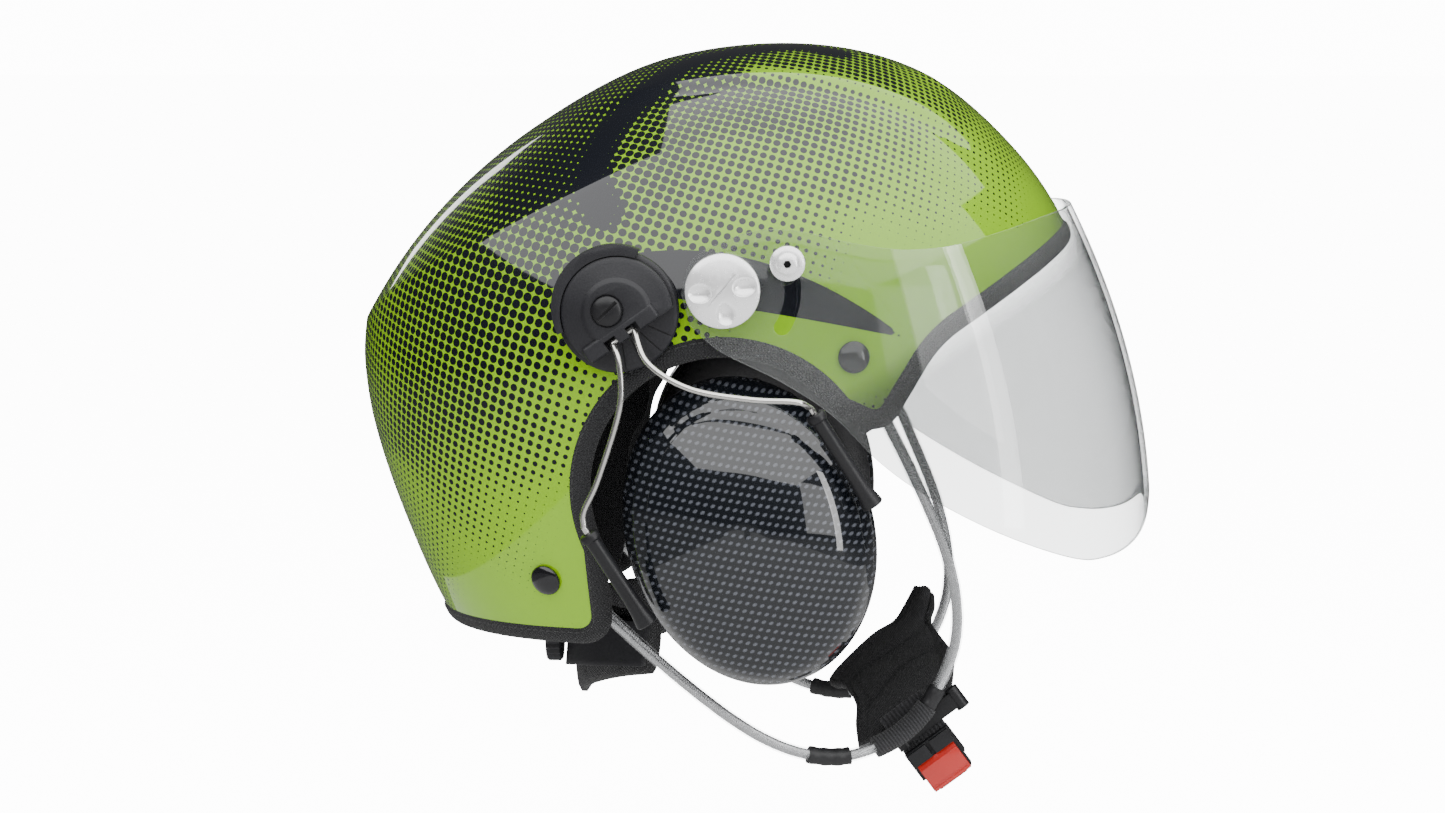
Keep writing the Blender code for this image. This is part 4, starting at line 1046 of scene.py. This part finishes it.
MOUNT_CENTRE, MOUNT_RADIUS = (-38.6, -7.9), 22.5
MOUNT_SCREW = (-42, -7)
ROTOR_RADIUS = 20.5
YOKE_ANGLE, YOKE_CENTRE, YOKE_SPREAD, YOKE_OUT = math.radians(35), (-36.5, -16.2), 9.4, 125.0
WIRE_RADIUS = 1.15
SLEEVE_BORE, SLEEVE_LENGTH, SLEEVE_INSERT = 1.5, 41, 22
SLEEVE_DIRECTION = (0.53, -0.12, -0.84)
REAR_SLEEVE_TOP, FRONT_SLEEVE_TOP = (-49, 126.5, -90), (34.2, 129, -45.2)
CUP_CENTRE, CUP_LONG, CUP_SHORT, CUP_LEAN = (9.5, -91), 60, 47, math.radians(18)
CUP_RIM_OUT = 97


def outward(point, side):
    """A place given as (forward, out, up), on one side."""
    return Vector((point[0], side * point[1], point[2]))


def yoke_hinge(side):
    """Middle of the yoke's hinge, the way its pin runs and the way its legs leave it."""
    middle = outward((YOKE_CENTRE[0], YOKE_OUT, YOKE_CENTRE[1]), side)
    across = Vector((math.cos(YOKE_ANGLE), 0, math.sin(YOKE_ANGLE)))
    down = Vector((math.sin(YOKE_ANGLE), 0, -math.cos(YOKE_ANGLE)))
    return middle, across, down


def build_mount(name, side):
    """The round base, with a raised lip round its upper rear and grooves below the housing."""
    inner, outer = cad_reach(f"muff_mount_base_{name}")
    rim = MOUNT_RADIUS
    disc = [(0, inner), (rim - 0.9, inner), (rim, inner + 0.8), (rim, outer - 1.3),
            (rim - 0.4, outer - 0.6), (rim - 1.2, outer - 0.2), (rim - 2.1, outer), (0, outer)]
    base = make(f"mount_{name}", turned(disc, MOUNT_CENTRE, side, 120), GREY)
    lip_centre = (MOUNT_CENTRE[0] - 1.2, MOUNT_CENTRE[1] + 2.0)
    crescent = arc(lip_centre, 23.0, 66, 206, 60) + arc(MOUNT_CENTRE, 20.9, 200, 72, 60)
    lip = make("lip", prism(crescent, side * (inner + 0.6), side * (outer + 4.2)), GREY)
    cut(base, lip, operation="UNION")
    for spread in (-27, -9, 13, 31):
        turn = YOKE_ANGLE - math.pi / 2 + math.radians(spread)
        along = Vector((math.cos(turn), 0, math.sin(turn)))
        middle = Vector((MOUNT_CENTRE[0], side * outer, MOUNT_CENTRE[1])) + along * 17
        cut(base, box_along((12, 1.4, 0.55), middle, along, (0, 1, 0)))
    bore = turned([(2.8, 100), (2.8, 160)], MOUNT_SCREW, side, 32)
    stands_for(rounded(cut(base, bore), 0.3, 2, 35), f"muff_mount_base_{name}")


def build_rotor(name, side):
    """The D-shaped housing: a raised middle, and a bar along its straight edge for the wire."""
    inner, outer = cad_reach(f"muff_rotor_{name}")
    edge = math.degrees(YOKE_ANGLE)
    steps = [(0.0, inner), (0.0, outer - 3.6), (0.5, outer - 3.0), (2.2, outer - 2.5),
             (7.4, outer - 1.5), (8.6, outer - 0.4), (9.3, outer - 0.2)]
    rings = []
    for inset, out in steps:
        line = arc(MOUNT_CENTRE, ROTOR_RADIUS - inset, edge - 30, edge + 210, 96)
        rings.append([Vector((x, side * out, z)) for x, z in line])
    rotor = make(f"housing_{name}", skin(rings), GREY)
    middle, across, down = yoke_hinge(side)
    bar_place = Vector((middle.x, side * (outer - 2.4), middle.z)) - down * 1.2
    bar = make("bar", box_along((31, 4.6, 6.4), bar_place, across, (0, 1, 0)), GREY)
    cut(rotor, rounded(bar, 1.3, 4), operation="UNION")
    below = box_along((80, 60, 40), middle + down * (20 + WIRE_RADIUS + 0.9), across, (0, 1, 0))
    notches = []
    for shift in (-1, 1):
        place = middle + across * shift * YOKE_SPREAD / 2 + down * (10 - WIRE_RADIUS - 0.7)
        notches.append(box_along((2 * WIRE_RADIUS + 2.6, 60, 20), place, across, (0, 1, 0)))
    pin = [middle - across * 20, middle + across * 20]
    bore = turned([(2.8, 100), (2.8, 160)], MOUNT_SCREW, side, 32)
    dish = turned([(6.0, outer - 0.9), (6.3, outer + 2)], MOUNT_SCREW, side, 64)
    cut(rotor, below, *notches, tube(pin, WIRE_RADIUS + 0.3, 24), bore, dish)
    stands_for(rounded(rotor, 0.35, 3, 28), f"muff_rotor_{name}")


def build_mount_screw(name, side):
    """A domed screw with one slot."""
    foot, head = cad_reach(f"muff_mount_screw_{name}")
    profile = [(0, foot), (2.5, foot), (2.5, head - 2), (5.1, head - 2), (5.5, head - 1.7),
               (5.5, head - 1.2), (5.2, head - 0.8), (4.3, head - 0.35), (2.4, head - 0.05), (0, head)]
    screw = make(f"mount_screw_{name}", turned(profile, MOUNT_SCREW, side), BLACK)
    groove = box_along((9.6, 3.4, 1.3), (MOUNT_SCREW[0], side * (head + 0.4), MOUNT_SCREW[1]),
                       (0.7, 0, 0.71), (0, 1, 0))
    stands_for(rounded(cut(screw, groove), 0.14, 2), f"muff_mount_screw_{name}")


def build_yoke(name, side):
    """One stainless wire through the knuckle, bent out over the cup and into both sleeves."""
    middle, across, _ = yoke_hinge(side)
    rear_exit, front_exit = middle - across * YOKE_SPREAD / 2, middle + across * YOKE_SPREAD / 2
    direction = outward(SLEEVE_DIRECTION, side).normalized()
    rear_top, front_top = outward(REAR_SLEEVE_TOP, side), outward(FRONT_SLEEVE_TOP, side)
    rear = [(-37.6, 127.5, -27), (-37.6, 128.5, -43), (-45.5, 127.5, -69), (-50.8, 127, -81)]
    front = [(-27, 130, -26), (-11.5, 134, -35), (10, 136, -38.6), (27, 134.5, -39.6)]
    lead, insert = direction * 3.5, direction * SLEEVE_INSERT
    rear_leg = smooth_path([rear_exit, *[outward(p, side) for p in rear], rear_top - lead], 12)
    front_leg = smooth_path([front_exit, *[outward(p, side) for p in front], front_top - lead], 12)
    path = [rear_top + insert, rear_top, *rear_leg[::-1], *front_leg, front_top, front_top + insert]
    stands_for(make(f"yoke_{name}", tube(path, WIRE_RADIUS, 18), STEEL, 80), f"wire_yoke_{name}")


def build_sleeves(name, side):
    """Moulded sleeves on the yoke's ends, each with a collar and a flared foot."""
    direction = outward(SLEEVE_DIRECTION, side).normalized()
    shape = [(0, 2.9), (0.3, 3.5), (1.0, 3.8), (2.8, 3.8), (3.2, 3.5), (3.5, 3.0), (9, 2.95),
             (SLEEVE_LENGTH - 12, 3.0), (SLEEVE_LENGTH - 5, 3.5), (SLEEVE_LENGTH - 1.4, 4.15),
             (SLEEVE_LENGTH - 0.5, 4.2), (SLEEVE_LENGTH, 3.7)]
    for end, top in (("rear", REAR_SLEEVE_TOP), ("front", FRONT_SLEEVE_TOP)):
        start = outward(top, side) - direction
        path = [start + direction * step for step, _ in shape]
        radii = [radius for _, radius in shape]
        sleeve = make(f"sleeve_{end}_{name}", tube(path, 0, 40, radii=radii), BLACK)
        bore = [start - direction * 2, start + direction * (SLEEVE_INSERT + 16)]
        stands_for(cut(sleeve, tube(bore, SLEEVE_BORE + 0.1, 24)), f"yoke_sleeve_{end}_{name}")


def cup_point(share, turn, out, side):
    """A place on an oval of the ear cup, as a share of its full outline."""
    along, across = CUP_LONG * share * math.cos(turn), CUP_SHORT * share * math.sin(turn)
    x = CUP_CENTRE[0] - along * math.sin(CUP_LEAN) + across * math.cos(CUP_LEAN)
    z = CUP_CENTRE[1] + along * math.cos(CUP_LEAN) + across * math.sin(CUP_LEAN)
    return Vector((x, side * out, z))


def cup_ring(share, out, side, count, pressed=False):
    """An oval ring of the cup, or one point at its middle, with or without the pressed relief."""
    ring = []
    for turn in full_turn(count) if share > 0.001 else [0.0]:
        depth = cup_relief(share, turn) if pressed else 0
        ring.append(cup_point(share, turn, out - depth, side))
    return ring


def oval_ring(profile, side, count=120):
    """An oval piece with a hole, whose profile closes on itself."""
    rings = [cup_ring(share, out, side, count) for share, out in profile]
    bm = skin(rings + rings[:1], close_ends=False)
    bmesh.ops.remove_doubles(bm, verts=bm.verts, dist=0.001)
    return bm


def cup_dome(side):
    """The cup's outer form: a domed oval with two stepped grooves at the top rear."""
    rim = CUP_RIM_OUT
    knots = [(0.92, rim), (0.965, rim + 3), (0.98, rim + 7), (0.98, rim + 11), (0.945, rim + 17.5),
             (0.86, rim + 25), (0.69, rim + 31.2), (0.45, rim + 35.8), (0.2, rim + 38.4), (0, rim + 39)]
    inner = [(0, rim + 36.4), (0.4, rim + 34.6), (0.76, rim + 26), (0.9, rim + 13), (0.87, rim)]
    rings = [cup_ring(share, out, side, 160) for share, out in inner]
    rings += [cup_ring(share, out, side, 160, True) for share, out in smooth_outline(knots, 8)]
    return skin(rings)


def cup_relief(share, turn):
    """Depth pressed into the cup: two steps over its top and a smile near the bottom."""
    turn = (turn + math.pi) % (2 * math.pi) - math.pi
    top = math.exp(-((turn + 0.25) / 1.35) ** 6)
    depth = 0.0
    for place, size in ((0.80, 1.2), (0.905, 1.0)):
        depth += size * top / (1 + math.exp(-(share - place) * 150))
    bottom = math.exp(-((abs(turn) - math.pi) / 0.75) ** 6)
    depth += 0.45 * bottom * math.exp(-((share - 0.62) / 0.018) ** 2)
    return depth


def build_cup(name, side):
    """The cup, its back plate and foam, and a soft oval cushion that swells at its edges."""
    stands_for(make(f"cup_{name}", cup_dome(side), CARBON, 50), f"muff_cup_{name}")
    rim = CUP_RIM_OUT
    plate = [(0.5, rim - 3.6), (0.91, rim - 3.6), (0.93, rim - 3.2), (0.935, rim - 1.4),
             (0.93, rim - 0.3), (0.5, rim - 0.3)]
    stands_for(make(f"back_plate_{name}", oval_ring(plate, side), BLACK), f"muff_plate_{name}")
    low, high = rim - 18, rim - 3.9
    cushion = []
    for turn in full_turn(28):
        fat = 1 + 0.12 * math.cos(2 * turn)
        cushion.append((0.745 + 0.185 * math.cos(turn) * fat,
                        (low + high) / 2 + (high - low) / 2 * math.sin(turn)))
    ring = make(f"cushion_{name}", oval_ring(cushion, side, 140), LEATHER, 80)
    crease(ring)
    stands_for(ring, f"ear_cushion_{name}")
    refinish(f"muff_foam_{name}", FOAM)


def crease(ring):
    """Gathers the cushion's leather in fine folds along its inner and outer edges."""
    centre = (Vector((CUP_CENTRE[0], 0, CUP_CENTRE[1])) - HEAD_REST) * MM
    for vertex in ring.data.vertices:
        flat = vertex.co - centre
        turn = math.atan2(flat.z, flat.x)
        fold = math.sin(turn * 46) * 0.22 + math.sin(turn * 29 + 1.3) * 0.16
        vertex.co += Vector((flat.x, 0, flat.z)).normalized() * fold * MM


def build_muffs():
    """Both ear muffs, from the mounts on the shell to the cups."""
    for name, side in SIDES.items():
        build_mount(name, side)
        build_rotor(name, side)
        build_mount_screw(name, side)
        build_yoke(name, side)
        build_sleeves(name, side)
        build_cup(name, side)


# ---------------------------------------------------------------- retention

CABLE_RADIUS = 2.5
STRAND_RADIUS, STRAND_CIRCLE, STRAND_LAY, STRAND_COUNT = 0.42, 1.62, 15, 14
CABLE_PATH = [
    (-58, 84, -108), (-46, 81, -126), (-10, 82, -157.5), (16.6, 78, -176), (39.5, 72, -183),
    (58.7, 66.5, -179.4), (74, 62.5, -168.4), (85.6, 62, -147), (88, 66, -126.6), (83, 74, -102),
    (71.5, 84, -74), (61, 94, -52), (54, 101, -38),
]


def strands(path):
    """Wires twisted about a path, as one mesh."""
    lengths = np.cumsum([0] + [(b - a).length for a, b in zip(path, path[1:])])
    across = None
    frames = []
    for i, point in enumerate(path):
        along = (path[min(i + 1, len(path) - 1)] - path[max(i - 1, 0)]).normalized()
        across = along.orthogonal() if across is None else across
        across = (across - along * across.dot(along)).normalized()
        frames.append((point, across, along.cross(across)))
    bm = bmesh.new()
    for start in full_turn(STRAND_COUNT):
        line = []
        for length, (point, first, second) in zip(lengths, frames):
            turn = start + 2 * math.pi * length / STRAND_LAY
            line.append(point + (first * math.cos(turn) + second * math.sin(turn)) * STRAND_CIRCLE)
        add_mesh(bm, tube(line, STRAND_RADIUS, 5))
    return bm


def make_collar(name, path):
    """A shrunk sleeve on part of a cable, a little wavy along its length."""
    radii = [CABLE_RADIUS + 0.9 + 0.12 * math.sin(i * 0.9) for i in range(len(path))]
    return make(name, tube(path, 0, 24, radii=radii), SHRINK, 80)


def build_cables():
    """Twisted steel cables under a clear sleeve, with a shrunk collar low on each."""
    for name, side in SIDES.items():
        path = cable_path(side)
        coat = make(f"cable_coating_{name}", tube(path, CABLE_RADIUS, 24), COATING, 80)
        stands_for(coat, f"steel_cable_{name}")
        belongs(make(f"cable_strands_{name}", strands(path), STRAND, 80), f"steel_cable_{name}")
        low, high = cad_box(f"cable_collar_{name}")
        wrapped = [p for p in path if low.x <= p.x <= high.x and p.z < -150]
        stands_for(make_collar(f"collar_{name}", wrapped), f"cable_collar_{name}")
    upper = [p for p in cable_path(-1) if 76 < p.x and -171 < p.z < -157]
    belongs(make_collar("upper_collar", upper), "cable_collar_right")


def cable_path(side):
    """A harness cable's middle line, spaced evenly from its rear end to its front end."""
    return evenly(smooth_path([outward(p, side) for p in CABLE_PATH], 12), 420)


def sling(rows, thickness, steps, across_steps, puff):
    """A padded strap over rows of two edges, thicker towards its middle line."""
    firsts = smooth_path([a for a, _ in rows], steps)
    seconds = smooth_path([b for _, b in rows], steps)
    centres = [(a + b) / 2 for a, b in zip(firsts, seconds)]
    rings = []
    for i, (a, b) in enumerate(zip(firsts, seconds)):
        ahead = centres[min(i + 1, len(centres) - 1)] - centres[max(i - 1, 0)]
        normal = (b - a).cross(ahead).normalized()
        shares = [k / across_steps for k in range(across_steps + 1)]
        flat = [a.lerp(b, t) for t in shares]
        lift = [normal * puff(t, i / len(centres)) * thickness / 2 for t in shares]
        top = [place + up for place, up in zip(flat, lift)]
        under = [place - up for place, up in zip(flat, lift)]
        rings.append(top + under[::-1])
    return skin(rings)


# Rear and front edges of the chin cup, from the wearer's left to right, with y to the left
CHIN_ROWS = [
    ((75, 58.5, -137.5), (80.5, 58.5, -140.5)), ((70.5, 50, -144.5), (80.5, 50, -144)),
    ((66, 43, -150), (79, 43, -149.5)), ((56, 30, -154.5), (83.5, 30, -154.5)),
    ((40.5, 8, -167), (86.5, 8, -155.5)), ((46.5, -8, -167), (87, -8, -157)),
    ((51, -25, -171), (86, -25, -162)), ((51, -40, -177), (84, -40, -167)),
    ((52, -50, -183), (80, -50, -172.5)),
]
# How far along the chin cup its slanting seam lies, at its rear and at its front edge
CHIN_SEAM = (0.82, 0.42)


def chin_seam(t):
    """How far along the chin cup its seam lies, at a share of its width."""
    return CHIN_SEAM[0] + (CHIN_SEAM[1] - CHIN_SEAM[0]) * t


def chin_puff(t, along):
    """Swell of the chin cup across its width: bound edges, and panels that sink at the seam."""
    edge = min(t, 1 - t)
    bound = 0.75 if edge < 0.07 else 0.42 + 0.9 * math.sin(math.pi * (edge - 0.07) / 0.86) ** 0.6
    past = along - chin_seam(t)
    sunk = 0.5 * math.exp(-(past / 0.02) ** 2) + 0.35 * math.exp(-((past + 0.2) / 0.03) ** 2)
    return bound * (1 - sunk) + 0.03 * math.sin(along * 40 + t * 9)


def build_chin_cup():
    """A padded sling with bound edges, and a piped seam that runs slantwise over it."""
    cup = make("chin_sling", sling(CHIN_ROWS, 5.5, 8, 24, chin_puff), FABRIC, 70)
    stands_for(cup, "chin_cup")
    firsts = smooth_path([rear for rear, _ in CHIN_ROWS], 8)
    seconds = smooth_path([front for _, front in CHIN_ROWS], 8)
    for word, line in (("rear", firsts), ("front", seconds)):
        belongs(make(f"chin_binding_{word}", tube(line, 1.5, 12, squash=1.2), PIPING, 80), "chin_cup")
    ridge = []
    for i in range(25):
        t = i / 24
        row = round(chin_seam(t) * (len(firsts) - 1))
        place = firsts[row].lerp(seconds[row], t)
        ridge.append(place + Vector((0.3, -0.8, -0.3)) * 2.2 * math.sin(math.pi * t) ** 0.4)
    belongs(make("chin_piping", tube(smooth_path(ridge[::4], 4), 0.8, 10), PIPING, 80), "chin_cup")


BUCKLE_DOWN, BUCKLE_ACROSS = Vector((0.6, 0, -0.8)), Vector((0.8, 0, 0.6))
BUCKLE_CENTRE = Vector((81.3, -57, -185.3))


def buckle_place(down, across, out):
    """A place on the buckle, from its centre."""
    return BUCKLE_CENTRE + BUCKLE_DOWN * down + BUCKLE_ACROSS * across + Vector((0, -out, 0))


def block(size, down, across, out):
    """A block that lies square to the buckle."""
    return box_along(size, buckle_place(down, across, out), BUCKLE_DOWN, BUCKLE_ACROSS)


def build_strap():
    """Ribbed webbing looped on the cable, the chin strap and its ladder slider."""
    low, high = cad_box("chin_loop")
    wrapped = [p for p in cable_path(-1) if low.x <= p.x <= high.x and p.z < -160]
    ribs = webbing_look("loop_webbing", (wrapped[-1] - wrapped[0]).normalized(), 1.25)
    stands_for(make("webbing_loop", tube(wrapped, CABLE_RADIUS + 1.7, 28), ribs, 80), "chin_loop")
    woven = webbing_look("chin_webbing", BUCKLE_ACROSS, 1.7)
    strap = make("strap", block((20, 20, 1.8), -15, 0, -1), woven)
    stands_for(rounded(strap, 0.6), "chin_webbing")
    slider = make("slider", block((6.5, 28, 4.2), -14, 6, -1), BLACK)
    ears = [tube([buckle_place(-18.5, k, -1), buckle_place(-9.5, k, -1)], 2.7, 24) for k in (-8, 19.5)]
    cut(slider, *ears, operation="UNION")
    stands_for(rounded(cut(slider, block((20, 20.8, 2.4), -14, 0, -1)), 1.0), "strap_adjuster")


def build_buckle():
    """A waisted body with two lobes, the tongue inside it and a scooped red release tab."""
    body = make("buckle", block((18, 20, 8), 0.8, 0, 0), BLACK)
    lobes = [block((5.5, 8.6, 4.4), -5.0, k * 5.2, 4.4) for k in (-1, 1)]
    waist = [block((7, 4, 12), 7.5, k * 10.9, 0) for k in (-1, 1)]
    cut(body, block((30, 14.6, 2.6), 10, 0, -1), block((12.6, 17, 2.6), 4.6, 0, 3.2), *waist)
    cut(body, *lobes, operation="UNION")
    stands_for(rounded(body, 0.8), "buckle_body")
    tongue = make("tongue", block((15, 13, 2), 4, -0.6, -1), BLACK)
    stands_for(rounded(tongue, 0.5), "buckle_tongue")
    tab = make("release_tab", block((12, 17, 3.8), 4.0, 0, 4.3), RED)
    scoop = turned([(9.5, -14), (9.5, 14)])
    quarter = Matrix.Rotation(math.radians(90), 4, BUCKLE_DOWN)
    scoop.transform(Matrix.Translation(buckle_place(-6.2, 0, 13.2)) @ quarter)
    cut(tab, scoop, block((1.0, 18, 1.0), 8.2, 0, 6.3))
    stands_for(rounded(tab, 0.4), "buckle_release")


NAPE_CENTRE, NAPE_RADIUS, NAPE_REACH = -4, 62, 62
DIAL_RADIUS, DIAL_HEIGHT = 11, -147.5


def nape_rows(radius, low, rise, high):
    """Low and high edges of a band behind the nape, whose low edge rises towards its ends."""
    rows = []
    for i in range(13):
        turn = math.radians(NAPE_REACH * (i / 6 - 1))
        x, y = NAPE_CENTRE - radius * math.cos(turn), radius * math.sin(turn)
        lower = Vector((x, y, low + rise * abs(math.sin(turn))))
        rows.append((lower, Vector((x + 2, y, high))))
    return rows


def even_puff(t, along):
    """The same thickness all over."""
    return 1.0


def nape_puff(t, along):
    """Swell of the nape pad, with channels sewn across it."""
    edge = min(t, 1 - t)
    channel = math.exp(-(((along * 5) % 1 - 0.5) / 0.06) ** 2)
    return 0.25 + 0.75 * math.sin(math.pi * edge) ** 0.5 - 0.12 * channel


def build_nape():
    """A plastic cradle with a stem up into the shell, and the padded cushion inside it."""
    band = sling(nape_rows(NAPE_RADIUS, -160, 10, -134), 3, 8, 10, even_puff)
    cradle = make("nape_cradle_band", band, GREY)
    stem = box_along((30, 24, 3), (-74.5, 0, -126), (-0.62, 0, 0.78), (0, 1, 0))
    cut(cradle, stem, operation="UNION")
    stands_for(rounded(cradle, 0.5, 2, 50), "nape_cradle")
    cushion = sling(nape_rows(NAPE_RADIUS - 6.2, -171, 18, -131), 9, 8, 16, nape_puff)
    stands_for(make("nape_cushion", cushion, PADDING, 80), "nape_pad")


def build_dial():
    """The size dial, a disc with 24 flutes round its rim."""
    rim = DIAL_RADIUS
    profile = [(0, 2.4), (rim - 1, 2.4), (rim, 3.4), (rim, 8), (rim - 0.8, 8.9), (8.6, 9.2),
               (7.6, 8.5), (0, 8.5)]
    dial = turned(profile, sides=96)
    for vertex in dial.verts:
        if math.hypot(vertex.co.x, vertex.co.z) > rim - 1.1:
            turn = math.atan2(vertex.co.z, vertex.co.x)
            size = 1 - 0.028 * (1 + math.cos(24 * turn))
            vertex.co.x, vertex.co.z = vertex.co.x * size, vertex.co.z * size
    place = Matrix.Translation((NAPE_CENTRE - NAPE_RADIUS, 0, DIAL_HEIGHT))
    dial.transform(place @ Matrix.Rotation(math.radians(90), 4, "Z"))
    stands_for(make("dial", dial, GREY, 30), "size_dial")


# ---------------------------------------------------------------- inside

# Rear edge of the fabric behind each ear, from its top down
EAR_LINING = [(-31, -23), (-29, -33), (-30, -48), (-36, -60), (-38, -75), (-38, -95), (-42, -112)]


def build_inside():
    """The foam liner, the fabric that lines it behind the ears, and the comfort pads."""
    refinish("eps_liner", FOAM)
    for name, side in SIDES.items():
        edge = [tuple(p) for p in smooth_outline(EAR_LINING, 6)]
        plate = prism(edge + arc(EAR_CENTRE, 58, 222, 120, 40), side * 76, side * 80)
        belongs(rounded(make(f"ear_lining_{name}", plate, FABRIC), 1.2), "eps_liner")
    for node in ("crown_pad", "brow_pad", "side_pad_right", "side_pad_left", "rear_pad"):
        build_pad(node)


def build_pad(node):
    """A comfort pad: the CAD pad remeshed, puffed up by cloth simulation and smoothed."""
    source = frame["nodes"][node]
    pad = bpy.data.objects.new(node + "_cushion", source.data.copy())
    bpy.context.scene.collection.objects.link(pad)
    pad.data.materials.clear()
    pad.data.materials.append(PADDING)
    shrink = pad.modifiers.new("shrink", "DISPLACE")
    shrink.strength = -1.2 * MM
    shrink.mid_level = 0
    remesh = pad.modifiers.new("remesh", "REMESH")
    remesh.mode = "VOXEL"
    remesh.voxel_size = 4 * MM
    bake(pad)
    puff_up(pad, 3.0)
    subdivided(pad)
    pad.data.shade_smooth()
    stands_for(pad, node)


def puff_up(pad, cap):
    """Blows a pad up like a cushion, with a limit in millimetres on how far a point may move."""
    before = np.array([v.co for v in pad.data.vertices])
    cloth = pad.modifiers.new("cloth", "CLOTH")
    cloth.settings.use_pressure = True
    cloth.settings.uniform_pressure_force = 4
    cloth.settings.effector_weights.gravity = 0
    cloth.settings.mass = 0.2
    scene = bpy.context.scene
    for step in range(1, 13):
        scene.frame_set(step)
    evaluated = pad.evaluated_get(bpy.context.evaluated_depsgraph_get())
    after = np.array([v.co for v in evaluated.data.vertices])
    pad.modifiers.remove(cloth)
    scene.frame_set(1)
    moved = after - before
    length = np.linalg.norm(moved, axis=1, keepdims=True)
    moved *= np.minimum(1, cap * MM / np.maximum(length, 1e-9))
    pad.data.vertices.foreach_set("co", (before + moved).ravel())
    pad.data.update()


# ---------------------------------------------------------------- stage

CAMERA_TARGET, CAMERA_DISTANCE = Vector((-4.3, 0, -55.4)), 1500
CAMERA_TURN, CAMERA_RISE = math.radians(2), math.radians(6)
VIEW_WIDTH, SENSOR = 578, 36.0
WORLD_SEEN, WORLD_LIGHT, WORLD_MIRRORED = 13.5, 0.33, 0.06
FLOOR_GLOW = 12.6


def build_camera():
    """A long lens that looks at the wearer's right side, from a little above and ahead."""
    back = Vector((math.sin(CAMERA_TURN) * math.cos(CAMERA_RISE),
                   -math.cos(CAMERA_TURN) * math.cos(CAMERA_RISE), math.sin(CAMERA_RISE)))
    data = bpy.data.cameras.new("camera")
    data.sensor_width = SENSOR
    data.lens = SENSOR * CAMERA_DISTANCE / VIEW_WIDTH
    camera = bpy.data.objects.new("camera", data)
    camera.location = (CAMERA_TARGET + back * CAMERA_DISTANCE - HEAD_REST) * MM
    camera.rotation_euler = back.to_track_quat("Z", "Y").to_euler()
    bpy.context.scene.collection.objects.link(camera)
    bpy.context.scene.camera = camera


def add_light(name, place, target, size, power):
    """A soft panel that faces its target, in metres from the frame's origin."""
    data = bpy.data.lights.new(name, "AREA")
    data.shape = "RECTANGLE"
    data.size, data.size_y = size
    data.energy = power
    light = bpy.data.objects.new(name, data)
    light.visible_camera = False
    light.location = place
    light.rotation_euler = (Vector(place) - Vector(target)).to_track_quat("Z", "Y").to_euler()
    bpy.context.scene.collection.objects.link(light)


def seen_as(look, seen, mirrored, lit):
    """A brightness that differs for what the camera sees, what gloss mirrors and what gives light."""
    path = look.node("LightPath")
    glossy = look.ramp(path.outputs["Is Glossy Ray"], 0.0, 1.0, lit, mirrored)
    camera = look.node("Mix", {0: path.outputs["Is Camera Ray"], 2: glossy, 3: seen})
    return camera.outputs[0]


def build_floor():
    """A pale floor just under the helmet, which the camera sees glow."""
    look = Look("pale_floor", Roughness=0.9)
    tone = look.noise(3.0, 2.0)
    pale = look.mix(tone, (0.80, 0.80, 0.80), (0.84, 0.84, 0.84))
    mirrored = look.node("LightPath").outputs["Is Glossy Ray"]
    look.shade(Base_Color=look.mix(mirrored, pale, (0.12, 0.12, 0.12)))
    look.shade(Emission_Color=(1, 1, 1))
    look.shade(Emission_Strength=seen_as(look, FLOOR_GLOW, 0.0, 0.0))
    bm = bmesh.new()
    bmesh.ops.create_grid(bm, x_segments=1, y_segments=1, size=20000)
    floor = make("floor", bm, look.material)
    floor.location.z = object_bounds()[0][2] - 0.012


def build_world():
    """A white surround, far brighter to the camera than as light or in mirrors."""
    world = bpy.data.worlds.new("studio")
    world.use_nodes = True
    tree = world.node_tree
    background = tree.nodes["Background"]
    background.inputs[0].default_value = (1, 1, 1, 1)
    path = tree.nodes.new("ShaderNodeLightPath")
    lit = tree.nodes.new("ShaderNodeMix")
    lit.inputs[2].default_value, lit.inputs[3].default_value = WORLD_LIGHT, WORLD_MIRRORED
    seen = tree.nodes.new("ShaderNodeMix")
    seen.inputs[3].default_value = WORLD_SEEN
    tree.links.new(path.outputs["Is Glossy Ray"], lit.inputs[0])
    tree.links.new(path.outputs["Is Camera Ray"], seen.inputs[0])
    tree.links.new(lit.outputs[0], seen.inputs[2])
    tree.links.new(seen.outputs[0], background.inputs[1])
    bpy.context.scene.world = world


def build_lights():
    """Panels whose reflections shape the gloss: overhead, crown, brow, tail and table."""
    aim = (0, 0, -0.04)
    add_light("overhead_panel", (0.15, -1.68, 0.95), (0.15, -1.68, 0), (3.6, 3.1), 120)
    add_light("crown_panel", (0.525, 0.17, 0.95), (0.525, 0.17, 0), (1.65, 0.6), 9.5)
    add_light("front_panel", (2.3, -2.4, 0.35), aim, (1.3, 1.1), 12)
    add_light("front_strip", (1.3, -0.9, 0.06), aim, (0.2, 1.0), 6)
    add_light("rear_strip", (-0.8, 1.55, 0.42), aim, (0.16, 0.5), 1.2)
    add_light("table_glow", (0.15, -0.65, -0.25), (0.15, -0.65, 0), (0.8, 1.55), 2.3)


build_shell()
build_trim()
for rivet_end in ("front", "rear"):
    for side_name in SIDES:
        build_rivet(rivet_end, side_name)
build_visor_fittings()
build_muffs()
build_cables()
build_chin_cup()
build_strap()
build_buckle()
build_nape()
build_dial()
build_inside()
build_floor()
build_world()
build_lights()
build_camera()
